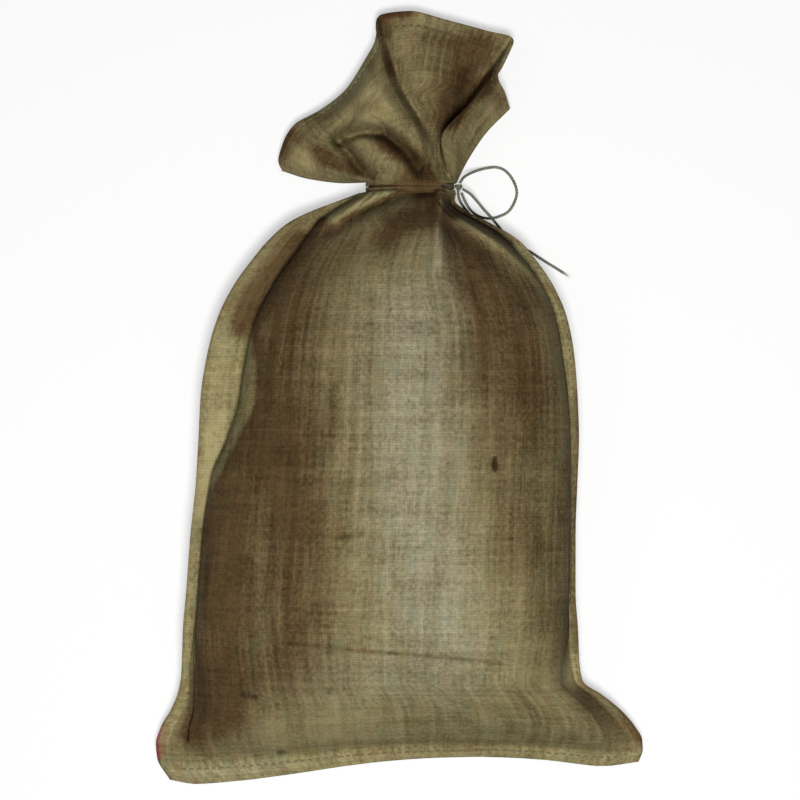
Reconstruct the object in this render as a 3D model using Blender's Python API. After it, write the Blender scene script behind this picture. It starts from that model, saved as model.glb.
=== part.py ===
# Jute sack, filled and tied at the neck, lying on its back.
# Metres, +Z up. The sack lies on z = 0, its mouth points along +Y and its filled face looks up.
# The origin is under the middle of the whole object.

import math

import bmesh
import bpy
import numpy as np
from mathutils import Vector

# Cloth
CLOTH = 0.002
HEM_CLOTH = 0.0034
HEM_START = 0.92
SEAM = 0.003

# How finely the sack is divided
FLANGE_STEPS = 3
QUARTER_STEPS = 15
BODY_STEPS = 38
FRILL_ROWS = (0.0, 0.05, 0.12, 0.2, 0.28, 0.37, 0.46, 0.55, 0.64, 0.73, 0.81, 0.88, 0.94, 1.0)
POCKET_END = 0.46

# The gathered neck: an ellipse, with a groove that holds the twine. The cloth on both sides leans over
# the groove as a lip, and stands back from it at the right, where the twine comes out.
NECK_X = 0.0118
NECK_Y = 0.2083
NECK_Z = 0.028
NECK_HALF_WIDTH = 0.0397
NECK_HALF_HEIGHT = 0.020
GROOVE = 0.0036
LIP_UNDER = 0.0036
LIP_OUT = 0.0052
LIP_TRIM = 0.0016
LIP_LEAN = 0.0027
LIP_LEAST = 0.0002
LIP_AT = 0.0048
TWINE_SIDE = 0.86

# Rows of the filled body, from the bottom hem to the neck. Each row runs from a left point to a
# right point; crest is its greatest height, place is where the crest stands between the two seam
# creases, seam is the height of the side seams, belly that of the underside, and flange_l and
# flange_r are the widths of the flat seam bands. full makes the section boxier, over pushes the
# filled body out over the left band, and bow is the share of BOTTOM_BOW that the row takes.
BODY_COLUMNS = ("left_x", "left_y", "right_x", "right_y", "crest", "place", "seam", "belly",
                "flange_l", "flange_r", "full", "over", "bow")
BODY_ROWS = (
    (-0.2275, -0.3780, 0.2370, -0.3600, 0.0080, 0.50, 0.0080, 0.0050, 0.034, 0.026, 3.2, 0.000, 1.00),
    (-0.2398, -0.3570, 0.2409, -0.3480, 0.0104, 0.50, 0.0104, 0.0072, 0.034, 0.026, 3.2, 0.000, 0.60),
    (-0.2410, -0.3420, 0.2400, -0.3370, 0.0340, 0.50, 0.0145, 0.0062, 0.033, 0.025, 3.0, 0.000, 0.52),
    (-0.2355, -0.3240, 0.2320, -0.3230, 0.0620, 0.51, 0.0190, 0.0026, 0.029, 0.023, 2.8, 0.002, 0.42),
    (-0.2250, -0.3060, 0.2180, -0.3070, 0.0840, 0.52, 0.0250, 0.0006, 0.023, 0.020, 2.6, 0.002, 0.32),
    (-0.2180, -0.2890, 0.2005, -0.2925, 0.1015, 0.53, 0.0310, 0.0000, 0.018, 0.017, 2.4, 0.003, 0.22),
    (-0.2145, -0.2710, 0.1800, -0.2770, 0.1165, 0.54, 0.0370, 0.0000, 0.014, 0.013, 2.3, 0.003, 0.14),
    (-0.2132, -0.2500, 0.1762, -0.2540, 0.1290, 0.55, 0.0430, 0.0000, 0.013, 0.012, 2.3, 0.003, 0.10),
    (-0.2122, -0.2270, 0.1750, -0.2280, 0.1390, 0.55, 0.0480, 0.0000, 0.012, 0.009, 2.2, 0.003, 0.04),
    (-0.2085, -0.1860, 0.1722, -0.1860, 0.1470, 0.55, 0.0520, 0.0000, 0.012, 0.006, 2.1, 0.003, 0.00),
    (-0.2045, -0.1340, 0.1722, -0.1340, 0.1510, 0.55, 0.0540, 0.0000, 0.012, 0.005, 2.0, 0.003, 0.00),
    (-0.1990, -0.0810, 0.1740, -0.0810, 0.1520, 0.55, 0.0540, 0.0000, 0.015, 0.006, 2.0, 0.004, 0.00),
    (-0.1965, -0.0390, 0.1755, -0.0390, 0.1510, 0.56, 0.0540, 0.0000, 0.030, 0.008, 2.0, 0.005, 0.00),
    (-0.1945, 0.0020, 0.1742, 0.0020, 0.1490, 0.56, 0.0530, 0.0000, 0.040, 0.009, 2.0, 0.006, 0.00),
    (-0.1880, 0.0440, 0.1708, 0.0440, 0.1460, 0.56, 0.0520, 0.0000, 0.041, 0.011, 2.0, 0.007, 0.00),
    (-0.1782, 0.0790, 0.1640, 0.0790, 0.1410, 0.57, 0.0500, 0.0000, 0.042, 0.011, 2.0, 0.008, 0.00),
    (-0.1630, 0.1100, 0.1510, 0.1100, 0.1330, 0.57, 0.0470, 0.0000, 0.043, 0.011, 2.0, 0.008, 0.00),
    (-0.1455, 0.1350, 0.1345, 0.1350, 0.1230, 0.58, 0.0440, 0.0000, 0.043, 0.012, 2.0, 0.008, 0.00),
    (-0.1290, 0.1550, 0.1175, 0.1550, 0.1110, 0.59, 0.0410, 0.0000, 0.040, 0.013, 2.0, 0.007, 0.00),
    (-0.1095, 0.1725, 0.0890, 0.1725, 0.0970, 0.61, 0.0380, 0.0005, 0.033, 0.012, 2.0, 0.006, 0.00),
    (-0.0860, 0.1845, 0.0660, 0.1845, 0.0830, 0.62, 0.0350, 0.0015, 0.024, 0.008, 2.0, 0.004, 0.00),
    (-0.0585, 0.1950, 0.0545, 0.1950, 0.0690, 0.60, 0.0320, 0.0026, 0.012, 0.004, 2.0, 0.002, 0.00),
    (-0.0410, 0.2020, 0.0560, 0.2020, 0.0560, 0.55, 0.0290, 0.0034, 0.003, 0.002, 2.0, 0.000, 0.00),
)
RIGHT_FULLER = 0.35
BAND_DIP = 0.005
UNDER_ROLL = 0.055

# The bottom edge between its corners, as a share of the way across and a rise above the straight line
BOTTOM_BOW = ((0.0, 0.0), (0.06, -0.0052), (0.15, -0.0035), (0.28, 0.0020), (0.42, 0.0090),
              (0.56, 0.0116), (0.70, 0.0105), (0.82, 0.0040), (0.93, -0.0030), (1.0, 0.0))

# The mouth above the neck, one row for each fold from the left side round the front to the right:
# a point near the neck, one past the middle, and one on the rim, each x, y and height.
FOLD_COLUMNS = ("near_x", "near_y", "near_z", "far_x", "far_y", "far_z", "rim_x", "rim_y", "rim_z")
FOLDS = (
    (-0.0535, 0.2130, 0.020, -0.0897, 0.2175, 0.015, -0.1165, 0.2258, 0.011),
    (-0.0555, 0.2215, 0.030, -0.0946, 0.2338, 0.027, -0.1200, 0.2357, 0.012),
    (-0.0485, 0.2308, 0.030, -0.0799, 0.2514, 0.040, -0.1142, 0.2553, 0.016),
    (-0.0368, 0.2367, 0.044, -0.0632, 0.2631, 0.050, -0.1034, 0.2710, 0.019),
    (-0.0191, 0.2416, 0.054, -0.0485, 0.2749, 0.060, -0.0800, 0.2840, 0.022),
    (-0.0034, 0.2436, 0.052, -0.0368, 0.2886, 0.067, -0.0544, 0.3033, 0.026),
    (0.0083, 0.2455, 0.054, -0.0220, 0.3004, 0.066, -0.0348, 0.3327, 0.028),
    (0.0201, 0.2465, 0.052, -0.0093, 0.3072, 0.052, -0.0240, 0.3533, 0.028),
    (0.0299, 0.2475, 0.038, 0.0025, 0.3102, 0.026, -0.0200, 0.3778, 0.022),
    (0.0338, 0.2485, 0.032, 0.0201, 0.3141, 0.031, 0.0103, 0.3822, 0.024),
    (0.0358, 0.2485, 0.029, 0.0397, 0.3121, 0.034, 0.0475, 0.3729, 0.026),
    (0.0377, 0.2485, 0.026, 0.0573, 0.3062, 0.026, 0.0838, 0.3631, 0.027),
    (0.0397, 0.2480, 0.024, 0.0691, 0.2974, 0.015, 0.1103, 0.3543, 0.029),
    (0.0412, 0.2524, 0.054, 0.0671, 0.2857, 0.056, 0.0965, 0.3170, 0.047),
    (0.0544, 0.2435, 0.048, 0.0789, 0.2808, 0.044, 0.1044, 0.3004, 0.030),
    (0.0652, 0.2308, 0.028, 0.0848, 0.2612, 0.024, 0.1093, 0.2867, 0.018),
)
NEAR_AT = 0.28
FAR_AT = 0.62
SIDE_FOLD = 0.0085
MOUTH_FLOOR = 0.0008
BACK_INSET = 0.003

# Creases and ridges pressed into the upper cloth: where each runs, its half width, and its rise,
# which is below zero for a crease
CREASES = (
    ("band fold", ((0.028, 0.205), (-0.014, 0.194), (-0.068, 0.170)), 0.010, 0.0120),
    ("under band", ((0.027, 0.201), (-0.014, 0.180), (-0.053, 0.155), (-0.073, 0.131)), 0.007, -0.0120),
    ("neck ridge", ((0.041, 0.202), (0.037, 0.170), (0.040, 0.134)), 0.007, 0.0100),
    ("neck valley", ((0.049, 0.198), (0.053, 0.160), (0.064, 0.116)), 0.010, -0.0110),
    ("shoulder ridge", ((0.061, 0.192), (0.098, 0.165), (0.128, 0.138), (0.147, 0.104), (0.156, 0.067)),
     0.007, 0.0080),
    ("shoulder hollow", ((0.058, 0.183), (0.088, 0.157), (0.116, 0.126), (0.136, 0.087)), 0.011, -0.0080),
    ("gather 1", ((-0.004, 0.202), (-0.010, 0.180)), 0.005, 0.0040),
    ("gather 2", ((0.014, 0.202), (0.010, 0.166)), 0.005, -0.0045),
    ("gather 3", ((0.025, 0.202), (0.021, 0.150)), 0.006, 0.0035),
    ("low right crease", ((0.165, -0.195), (0.166, -0.246), (0.177, -0.280)), 0.006, -0.0060),
    ("right ear crease", ((0.222, -0.316), (0.230, -0.342)), 0.005, -0.0030),
    ("left slack", ((-0.150, -0.080), (-0.142, -0.160), (-0.152, -0.235)), 0.018, -0.0050),
    ("tongue arc", ((-0.059, 0.256), (-0.039, 0.262), (-0.016, 0.261), (0.002, 0.248), (0.013, 0.233),
                    (0.020, 0.219)), 0.0065, -0.0190),
    ("tongue side", ((-0.061, 0.254), (-0.049, 0.242), (-0.038, 0.227), (-0.025, 0.216)), 0.006, -0.0130),
    ("mouth valley", ((-0.012, 0.349), (-0.006, 0.332), (0.003, 0.307), (0.013, 0.288), (0.026, 0.270),
                      (0.036, 0.251)), 0.006, -0.0060),
)

# Twine
TWINE = 0.0028
TWINE_GAP = 0.0003
BINDING_TURNS = 2
BINDING_ROUND = 72
BINDING_ACROSS = 10
KNOT_AT = (0.0583, 0.2083, 0.0240)
KNOT_SIZE = (0.0044, 0.0040, 0.0036)
LOOP_ROUTE = (
    (0.0597, 0.2129, 0.0248), (0.0632, 0.2180, 0.0215), (0.0690, 0.2222, 0.0150), (0.0770, 0.2258, 0.0085),
    (0.0860, 0.2285, 0.0040), (0.0955, 0.2296, 0.0018), (0.1040, 0.2268, 0.0016), (0.1110, 0.2195, 0.0016),
    (0.1160, 0.2085, 0.0016), (0.1155, 0.1985, 0.0016), (0.1090, 0.1865, 0.0016), (0.0990, 0.1808, 0.0016),
    (0.0890, 0.1788, 0.0020), (0.0795, 0.1805, 0.0040), (0.0710, 0.1860, 0.0100), (0.0650, 0.1945, 0.0165),
    (0.0612, 0.2030, 0.0205),
)
TAIL_ROUTE = (
    (0.0626, 0.2066, 0.0228), (0.0700, 0.2020, 0.0180), (0.0765, 0.1955, 0.0115), (0.0830, 0.1880, 0.0070),
    (0.0885, 0.1822, 0.0058), (0.0930, 0.1770, 0.0056), (0.0985, 0.1705, 0.0036), (0.1045, 0.1635, 0.0018),
    (0.1115, 0.1555, 0.0016), (0.1195, 0.1500, 0.0016), (0.1290, 0.1462, 0.0016), (0.1385, 0.1400, 0.0016),
    (0.1470, 0.1345, 0.0016), (0.1560, 0.1290, 0.0016), (0.1630, 0.1245, 0.0016),
)
SHORT_ROUTE = (
    (0.0578, 0.2045, 0.0212), (0.0585, 0.1990, 0.0170), (0.0605, 0.1945, 0.0120), (0.0640, 0.1895, 0.0070),
    (0.0680, 0.1850, 0.0032), (0.0725, 0.1800, 0.0016), (0.0765, 0.1750, 0.0016),
)
TWINE_STEP = 2.5


def empty_the_scene():
    for obj in list(bpy.data.objects):
        bpy.data.objects.remove(obj, do_unlink=True)


def new_collection(name):
    collection = bpy.data.collections.new(name)
    bpy.context.scene.collection.children.link(collection)
    return collection


def principled(name, colour, roughness):
    material = bpy.data.materials.new(name)
    material.use_nodes = True
    shader = material.node_tree.nodes["Principled BSDF"]
    shader.inputs["Base Color"].default_value = (*colour, 1.0)
    shader.inputs["Roughness"].default_value = roughness
    shader.inputs["Metallic"].default_value = 0.0
    return material


def table(columns, rows):
    """The rows as one array for each named column."""
    return dict(zip(columns, np.array(rows, dtype=float).T))


def eased(stations, values, at):
    """A cubic through the values that doesn't overshoot: each slope is the harmonic mean of its neighbours'."""
    stations = np.asarray(stations, dtype=float)
    values = np.asarray(values, dtype=float)
    at = np.clip(np.asarray(at, dtype=float), stations[0], stations[-1])
    steps = np.diff(stations)
    slopes = np.diff(values) / steps
    before, after = slopes[:-1], slopes[1:]
    same_way = before * after > 0
    middle = np.where(same_way, 2 * before * after / np.where(same_way, before + after, 1), 0)
    tangents = np.concatenate([slopes[:1], middle, slopes[-1:]])
    k = np.clip(np.searchsorted(stations, at, side="right") - 1, 0, len(steps) - 1)
    t = (at - stations[k]) / steps[k]
    return (
        values[k] * (1 + 2 * t) * (1 - t) ** 2
        + tangents[k] * steps[k] * t * (1 - t) ** 2
        + values[k + 1] * t * t * (3 - 2 * t)
        + tangents[k + 1] * steps[k] * t * t * (t - 1)
    )


def distance_to_route(x, y, route):
    """How far each point lies from a route in plan, and how far along the route its foot is, 0 to 1."""
    route = np.array(route)
    lengths = np.linalg.norm(np.diff(route, axis=0), axis=1)
    starts = np.concatenate([[0], np.cumsum(lengths)])
    nearest = np.full(x.shape, np.inf)
    along = np.zeros(x.shape)
    for k, length in enumerate(lengths):
        way = (route[k + 1] - route[k]) / length
        foot = np.clip((x - route[k, 0]) * way[0] + (y - route[k, 1]) * way[1], 0, length)
        gap = np.hypot(x - route[k, 0] - foot * way[0], y - route[k, 1] - foot * way[1])
        closer = gap < nearest
        nearest = np.where(closer, gap, nearest)
        along = np.where(closer, (starts[k] + foot) / starts[-1], along)
    return nearest, along


def creased(x, y, z):
    """The height with every crease and ridge added, each a bell across its route that fades at its far end."""
    for _name, route, half_width, rise in CREASES:
        gap, along = distance_to_route(x, y, route)
        fade = 1 - 0.6 * along**2
        z = z + rise * fade * np.exp(-((gap / half_width) ** 2))
    return z


def body_rows():
    """The body's table read at even steps, closer together at the bottom hem and at the shoulders."""
    rows = table(BODY_COLUMNS, BODY_ROWS)
    stations = np.arange(len(BODY_ROWS))
    at = np.linspace(0, len(BODY_ROWS) - 1, BODY_STEPS + 1)
    return {name: eased(stations, values, at)[:, None] for name, values in rows.items()}


def quarter(angles, reach, height, full):
    """A quarter of a superellipse: run and rise at each angle, from the steep foot to the level crest."""
    run = reach * (1 - np.maximum(np.cos(angles), 0) ** (2 / full))
    rise = height * np.maximum(np.sin(angles), 0) ** (2 / full)
    return run, rise


def band_dip(row):
    """How far the seam bands sink towards the filled body, which fades at the bottom hem and the neck."""
    filled = row["crest"] - row["seam"]
    return BAND_DIP * np.clip(filled / 0.03, 0, 1) * np.clip(row["flange_l"] / 0.01, 0, 1)


def body_top(row):
    """The upper cloth of the body: a flat band, the left quarter, the right quarter, and a flat band."""
    crease_l = row["left_x"] + row["flange_l"]
    crease_r = row["right_x"] - row["flange_r"]
    crest_x = crease_l + (crease_r - crease_l) * row["place"]
    band = np.linspace(0, 1, FLANGE_STEPS + 1)[None, :]
    angles = np.linspace(0, math.pi / 2, QUARTER_STEPS + 1)[None, :]
    filled = row["crest"] - row["seam"]
    dip = band_dip(row)

    band_l_x = row["left_x"] + band * row["flange_l"]
    band_z = row["seam"] - dip * band**2
    run_l, rise_l = quarter(angles, crest_x - crease_l, filled + dip, row["full"])
    push = row["over"] * np.sin(np.clip(angles / 0.7, 0, 1) * math.pi)
    run_r, rise_r = quarter(angles, crease_r - crest_x, filled + dip, row["full"] + RIGHT_FULLER)
    band_r_x = row["right_x"] - band * row["flange_r"]

    x = np.hstack([band_l_x, (crease_l + run_l - push)[:, 1:], (crease_r - run_r)[:, -2::-1],
                   band_r_x[:, -2::-1]])
    rise = np.hstack([band_z, (row["seam"] - dip + rise_l)[:, 1:], (row["seam"] - dip + rise_r)[:, -2::-1],
                      band_z[:, -2::-1]])
    return x, rise


def body_under(row):
    """The underside: a band under each seam, a roll down to the belly, and the flat belly between."""
    crease_l = row["left_x"] + row["flange_l"]
    crease_r = row["right_x"] - row["flange_r"]
    roll = np.minimum(UNDER_ROLL, (crease_r - crease_l) / 2)
    band = np.linspace(0, 1, FLANGE_STEPS + 1)[None, :]
    steps = QUARTER_STEPS // 2
    angles = np.linspace(0, math.pi / 2, steps + 1)[None, :]
    flat = np.linspace(0, 1, 2 * (QUARTER_STEPS - steps) + 1)[None, :]
    dip = band_dip(row)
    start = row["seam"] - SEAM - dip
    down = start - row["belly"]
    run, fall = quarter(angles, roll, down, 2.0)

    band_l_x = row["left_x"] + band * row["flange_l"]
    band_r_x = row["right_x"] - band * row["flange_r"]
    band_z = row["seam"] - SEAM - dip * band**2
    rolled_z = start - fall
    flat_x = crease_l + roll + (crease_r - crease_l - 2 * roll) * flat
    x = np.hstack([band_l_x, (crease_l + run)[:, 1:], flat_x[:, 1:-1], (crease_r - run)[:, ::-1],
                   band_r_x[:, -2::-1]])
    z = np.hstack([band_z, rolled_z[:, 1:], row["belly"] + 0 * flat[:, 1:-1], rolled_z[:, ::-1],
                   band_z[:, -2::-1]])
    return x, z


def with_y(row, x):
    """The y of each point: on the straight line between the row's ends, plus the bow of the bottom edge."""
    across = (x - row["left_x"]) / (row["right_x"] - row["left_x"])
    bow_at, bow = np.array(BOTTOM_BOW).T
    return row["left_y"] + (row["right_y"] - row["left_y"]) * across + row["bow"] * eased(bow_at, bow, across)


def body_rings():
    """The body's upper and lower grids, each rows x columns x 3."""
    row = body_rows()
    x, z = body_top(row)
    y = with_y(row, x)
    shaped = np.clip((row["crest"] - row["seam"]) / 0.02, 0, 1)
    edge_x = np.minimum(x - row["left_x"], row["right_x"] - x)
    pressed = z + (creased(x, y, z) - z) * shaped * np.clip(edge_x / 0.004, 0, 1)
    under_x, under_z = body_under(row)
    below = np.array([np.interp(*line) for line in zip(x, under_x, under_z)])
    top = np.stack([x, y, np.maximum(pressed, below + SEAM)], axis=-1)
    under = np.stack([under_x, with_y(row, under_x), under_z], axis=-1)
    return top, under


def neck_ring(y, grow, lean=0.0, trim=0.0):
    """One ring of the neck, an ellipse grown by the given amount: its upper half and its lower half.

    lean moves it along y, except at the right, where trim draws it in."""
    count = 2 * (FLANGE_STEPS + QUARTER_STEPS) + 1
    half_width, half_height = NECK_HALF_WIDTH + grow, NECK_HALF_HEIGHT + grow
    side = math.asin(SEAM / 2 / half_height)
    angles = np.linspace(math.pi - side, side, count)
    x = NECK_X + half_width * np.cos(angles)
    lift = half_height * np.sin(angles)
    closed = np.clip((TWINE_SIDE - np.cos(angles)) / 0.25, 0, 1)
    level = y + lean * closed
    x = x - trim * (1 - closed)
    return np.stack([x, level, NECK_Z + lift], axis=-1), np.stack([x, level, NECK_Z - lift], axis=-1)


def neck_rings():
    """The neck with its groove, from the body's lip to the mouth's."""
    low, high = NECK_Y - GROOVE, NECK_Y + GROOVE
    lip_low, lip_high = low + LIP_LEAST, high - LIP_LEAST
    places = (
        (NECK_Y - LIP_AT, LIP_OUT, 0, LIP_TRIM),
        (lip_low, LIP_OUT, LIP_LEAN, LIP_TRIM), (lip_low, LIP_UNDER, LIP_LEAN, 0),
        (low, LIP_UNDER, 0, 0), (low, 0, 0, 0), (high, 0, 0, 0), (high, LIP_UNDER, 0, 0),
        (lip_high, LIP_UNDER, -LIP_LEAN, 0), (lip_high, LIP_OUT, -LIP_LEAN, LIP_TRIM),
    )
    halves = [neck_ring(*place) for place in places]
    return np.array([top for top, _ in halves]), np.array([under for _, under in halves])


def mouth_front():
    """The front of the mouth, which fans from the neck's lip to the rim along the folds of the table."""
    lip, _ = neck_ring(NECK_Y + LIP_AT, LIP_OUT)
    fold = table(FOLD_COLUMNS, FOLDS)
    places = np.linspace(0, 1, len(FOLDS))
    at = np.linspace(0, 1, len(lip))
    near, far, rim = (
        np.stack([eased(places, fold[f"{part}_{axis}"], at) for axis in "xyz"], axis=-1)
        for part in ("near", "far", "rim")
    )
    stations = (0, NEAR_AT, FAR_AT, 1)
    rows = np.array(FRILL_ROWS)
    front = np.empty((len(rows), len(lip), 3))
    for column in range(len(lip)):
        through = np.stack([lip[column], near[column], far[column], rim[column]])
        for axis in range(3):
            front[:, column, axis] = eased(stations, through[:, axis], rows)
    x, y, z = np.moveaxis(front, -1, 0)
    sides = np.minimum(at, 1 - at)[None, :]
    started = np.clip(rows[:, None] / 0.1, 0, 1) * np.clip(sides / 0.05, 0, 1)
    front[..., 2] = np.maximum(z + (creased(x, y, z) - z) * started, MOUTH_FLOOR + SIDE_FOLD)
    return front


def mouth_back(front):
    """The back of the mouth, which lies along the floor and turns up to meet the front at both sides."""
    _, lip = neck_ring(NECK_Y + LIP_AT, LIP_OUT)
    at = np.linspace(0, 1, len(lip))
    rows = np.array(FRILL_ROWS)[:, None, None]
    rim = front[-1].copy()
    middle = rim[:, :2].mean(axis=0)
    away = rim[:, :2] - middle
    rim[:, :2] -= away / np.linalg.norm(away, axis=1, keepdims=True) * BACK_INSET
    back = lip[None] + (rim - lip)[None] * rows
    for side, column in ((0, 0), (1, -1)):
        pull = np.clip(1 - np.abs(at - side) / 0.22, 0, 1)[None, :, None] ** 2
        back[..., :2] += (front[:, column, :2] - back[:, column, :2])[:, None] * pull
    lying = MOUTH_FLOOR + (lip[None, :, 2] - MOUTH_FLOOR) * np.clip(1 - rows[..., 0] / 0.3, 0, 1) ** 2
    for side, column in ((0, 0), (1, -1)):
        near = np.clip(1 - np.abs(at - side) / 0.14, 0, 1)[None, :] ** 2
        edge = front[:, column, 2][:, None] - SIDE_FOLD
        lying = lying + (np.maximum(edge, lying) - lying) * near * np.clip(rows[..., 0] / 0.05, 0, 1)
    back[..., 2] = lying
    return back


def outward(grid):
    """The unit normal at each point of a grid, the mean of the normals of the faces round it."""
    faces = np.cross(grid[1:, 1:] - grid[:-1, :-1], grid[1:, :-1] - grid[:-1, 1:])
    faces = faces / np.linalg.norm(faces, axis=-1, keepdims=True)
    faces = np.pad(faces, ((1, 1), (1, 1), (0, 0)), mode="edge")
    normal = faces[1:, 1:] + faces[1:, :-1] + faces[:-1, 1:] + faces[:-1, :-1]
    return normal / np.linalg.norm(normal, axis=-1, keepdims=True)


def inside(grid, sign):
    """The inner face of a wall of the mouth, from the rim down into the pocket, thicker at the hem."""
    rows = np.array(FRILL_ROWS)
    thick = np.where(rows > HEM_START, HEM_CLOTH, CLOTH)[:, None, None]
    inner = grid - sign * outward(grid) * thick
    for side, inward in ((0, 1), (-1, -2)):
        step = grid[:, inward] - grid[:, side]
        size = np.linalg.norm(step, axis=-1, keepdims=True)
        inner[:, side] = grid[:, side] + step * np.minimum(thick[:, 0] / size, 0.8)
        inner[:, side, 2] = grid[:, side, 2] - sign * thick[:, 0, 0]
    kept = rows >= POCKET_END
    return inner[kept][::-1]


def skin(top, under):
    """One closed mesh from rings, each an upper row and a lower row, capped across both ends."""
    rows, columns = top.shape[:2]
    rings = np.concatenate([top, under[:, ::-1]], axis=1)
    round_ = 2 * columns
    mesh = bmesh.new()
    points = [mesh.verts.new(point) for point in rings.reshape(-1, 3)]
    for j in range(rows - 1):
        for i in range(round_):
            i2 = (i + 1) % round_
            mesh.faces.new([points[j * round_ + i], points[j * round_ + i2],
                            points[(j + 1) * round_ + i2], points[(j + 1) * round_ + i]])
    for start, turned in ((0, True), ((rows - 1) * round_, False)):
        for i in range(columns - 1):
            corners = [points[start + i], points[start + i + 1], points[start + round_ - 2 - i],
                       points[start + round_ - 1 - i]]
            mesh.faces.new(corners[::-1] if turned else corners)
    bmesh.ops.recalc_face_normals(mesh, faces=mesh.faces)
    return mesh


def add_mesh(name, mesh, material, collection):
    data = bpy.data.meshes.new(name)
    mesh.to_mesh(data)
    mesh.free()
    data.shade_smooth()
    data.materials.append(material)
    obj = bpy.data.objects.new(name, data)
    collection.objects.link(obj)
    return obj


def make_sack(material, collection):
    body, belly = body_rings()
    neck, neck_under = neck_rings()
    front = mouth_front()
    back = mouth_back(front)
    top = np.concatenate([body, neck, front, inside(front, 1)])
    under = np.concatenate([belly, neck_under, back, inside(back, -1)])
    mesh = skin(top, under)
    bmesh.ops.triangulate(mesh, faces=mesh.faces)
    return add_mesh("sack", mesh, material, collection)


def make_binding(material, collection):
    """Two turns of twine side by side in the groove, as one band with a rounded edge."""
    half = BINDING_TURNS * TWINE / 2
    out = TWINE_GAP + TWINE / 2
    around = np.linspace(0, 2 * math.pi, BINDING_ROUND, endpoint=False)[:, None]
    across = np.linspace(0, 2 * math.pi, BINDING_ACROSS, endpoint=False)[None, :]
    grow = out + TWINE / 2 * np.cos(across)
    x = NECK_X + (NECK_HALF_WIDTH + grow) * np.cos(around)
    y = NECK_Y + (half - 0.0004) * np.sin(across) + 0 * around
    z = NECK_Z + (NECK_HALF_HEIGHT + grow) * np.sin(around)
    mesh = bmesh.new()
    points = [[mesh.verts.new(point) for point in ring] for ring in np.stack([x, y, z], axis=-1)]
    for j in range(BINDING_ROUND):
        for i in range(BINDING_ACROSS):
            j2, i2 = (j + 1) % BINDING_ROUND, (i + 1) % BINDING_ACROSS
            mesh.faces.new([points[j][i], points[j2][i], points[j2][i2], points[j][i2]])
    bmesh.ops.recalc_face_normals(mesh, faces=mesh.faces)
    return add_mesh("neck_binding", mesh, material, collection)


def make_knot(material, collection):
    """A small round knot with three slanting ridges, as the crossings of the twine."""
    mesh = bmesh.new()
    bmesh.ops.create_uvsphere(mesh, u_segments=20, v_segments=12, radius=1.0)
    for vert in mesh.verts:
        turn = math.atan2(vert.co.y, vert.co.x)
        ridge = 1 + 0.1 * math.cos(3 * turn + 2.5 * vert.co.z) * math.hypot(vert.co.x, vert.co.y)
        vert.co = Vector(tuple(KNOT_AT[k] + KNOT_SIZE[k] * vert.co[k] * ridge for k in range(3)))
    return add_mesh("twine_knot", mesh, material, collection)


def smooth_route(route):
    """Points a few diameters apart along a smooth curve through the route's own points."""
    route = np.array(route)
    ends = np.vstack([2 * route[0] - route[1], route, 2 * route[-1] - route[-2]])
    fine = []
    for k in range(1, len(ends) - 2):
        a, b, c, d = ends[k - 1 : k + 3]
        for t in np.linspace(0, 1, 12, endpoint=False):
            fine.append(0.5 * (2 * b + (c - a) * t + (2 * a - 5 * b + 4 * c - d) * t**2
                               + (3 * b - a - 3 * c + d) * t**3))
    fine = np.array(fine + [route[-1]])
    length = np.concatenate([[0], np.cumsum(np.linalg.norm(np.diff(fine, axis=0), axis=1))])
    count = max(int(round(length[-1] / (TWINE_STEP * TWINE))), 4)
    at = np.linspace(0, length[-1], count + 1)
    return np.stack([np.interp(at, length, fine[:, axis]) for axis in range(3)], axis=-1)


def make_cord(name, route, material, collection):
    points = smooth_route(route)
    curve = bpy.data.curves.new(name, "CURVE")
    curve.dimensions = "3D"
    curve.bevel_depth = TWINE / 2
    curve.bevel_resolution = 2
    curve.use_fill_caps = True
    spline = curve.splines.new("POLY")
    spline.points.add(len(points) - 1)
    for point, place in zip(spline.points, points):
        point.co = (*place, 1.0)
    curve.materials.append(material)
    obj = bpy.data.objects.new(name, curve)
    collection.objects.link(obj)
    return obj


def main():
    empty_the_scene()
    parts = new_collection("jute_log_bag")
    jute = principled("jute_cloth", (0.18, 0.15, 0.075), 0.95)
    make_sack(jute, parts)
    make_binding(principled("binding_twine", (0.13, 0.13, 0.09), 0.9), parts)
    make_knot(principled("knot_twine", (0.12, 0.12, 0.085), 0.9), parts)
    make_cord("twine_loop", LOOP_ROUTE, principled("loop_twine", (0.11, 0.12, 0.08), 0.9), parts)
    make_cord("twine_tail", TAIL_ROUTE, principled("tail_twine", (0.115, 0.12, 0.082), 0.9), parts)
    make_cord("twine_short_end", SHORT_ROUTE, principled("short_twine", (0.1, 0.1, 0.07), 0.9), parts)


main()
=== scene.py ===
import math

import bpy
import numpy as np
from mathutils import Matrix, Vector


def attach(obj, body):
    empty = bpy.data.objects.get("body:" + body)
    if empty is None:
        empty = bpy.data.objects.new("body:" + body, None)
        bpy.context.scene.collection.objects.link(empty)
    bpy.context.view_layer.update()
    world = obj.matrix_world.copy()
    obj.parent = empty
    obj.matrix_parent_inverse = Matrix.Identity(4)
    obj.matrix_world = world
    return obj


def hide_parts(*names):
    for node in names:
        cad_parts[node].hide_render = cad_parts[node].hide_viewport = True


# A filled jute sack lying on its back, its neck tied with twine. Metres, +Z up, mouth towards +Y.

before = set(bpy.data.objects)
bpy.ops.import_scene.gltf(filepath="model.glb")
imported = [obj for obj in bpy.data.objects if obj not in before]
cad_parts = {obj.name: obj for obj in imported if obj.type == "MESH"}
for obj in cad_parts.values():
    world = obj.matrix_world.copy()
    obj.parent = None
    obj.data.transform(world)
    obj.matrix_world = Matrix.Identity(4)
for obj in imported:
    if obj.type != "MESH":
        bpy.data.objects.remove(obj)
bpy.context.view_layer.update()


# Numbers and curves

mm = 0.001       # tables of places are in millimetres
waveCount = 9    # sines in a field of swells


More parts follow.
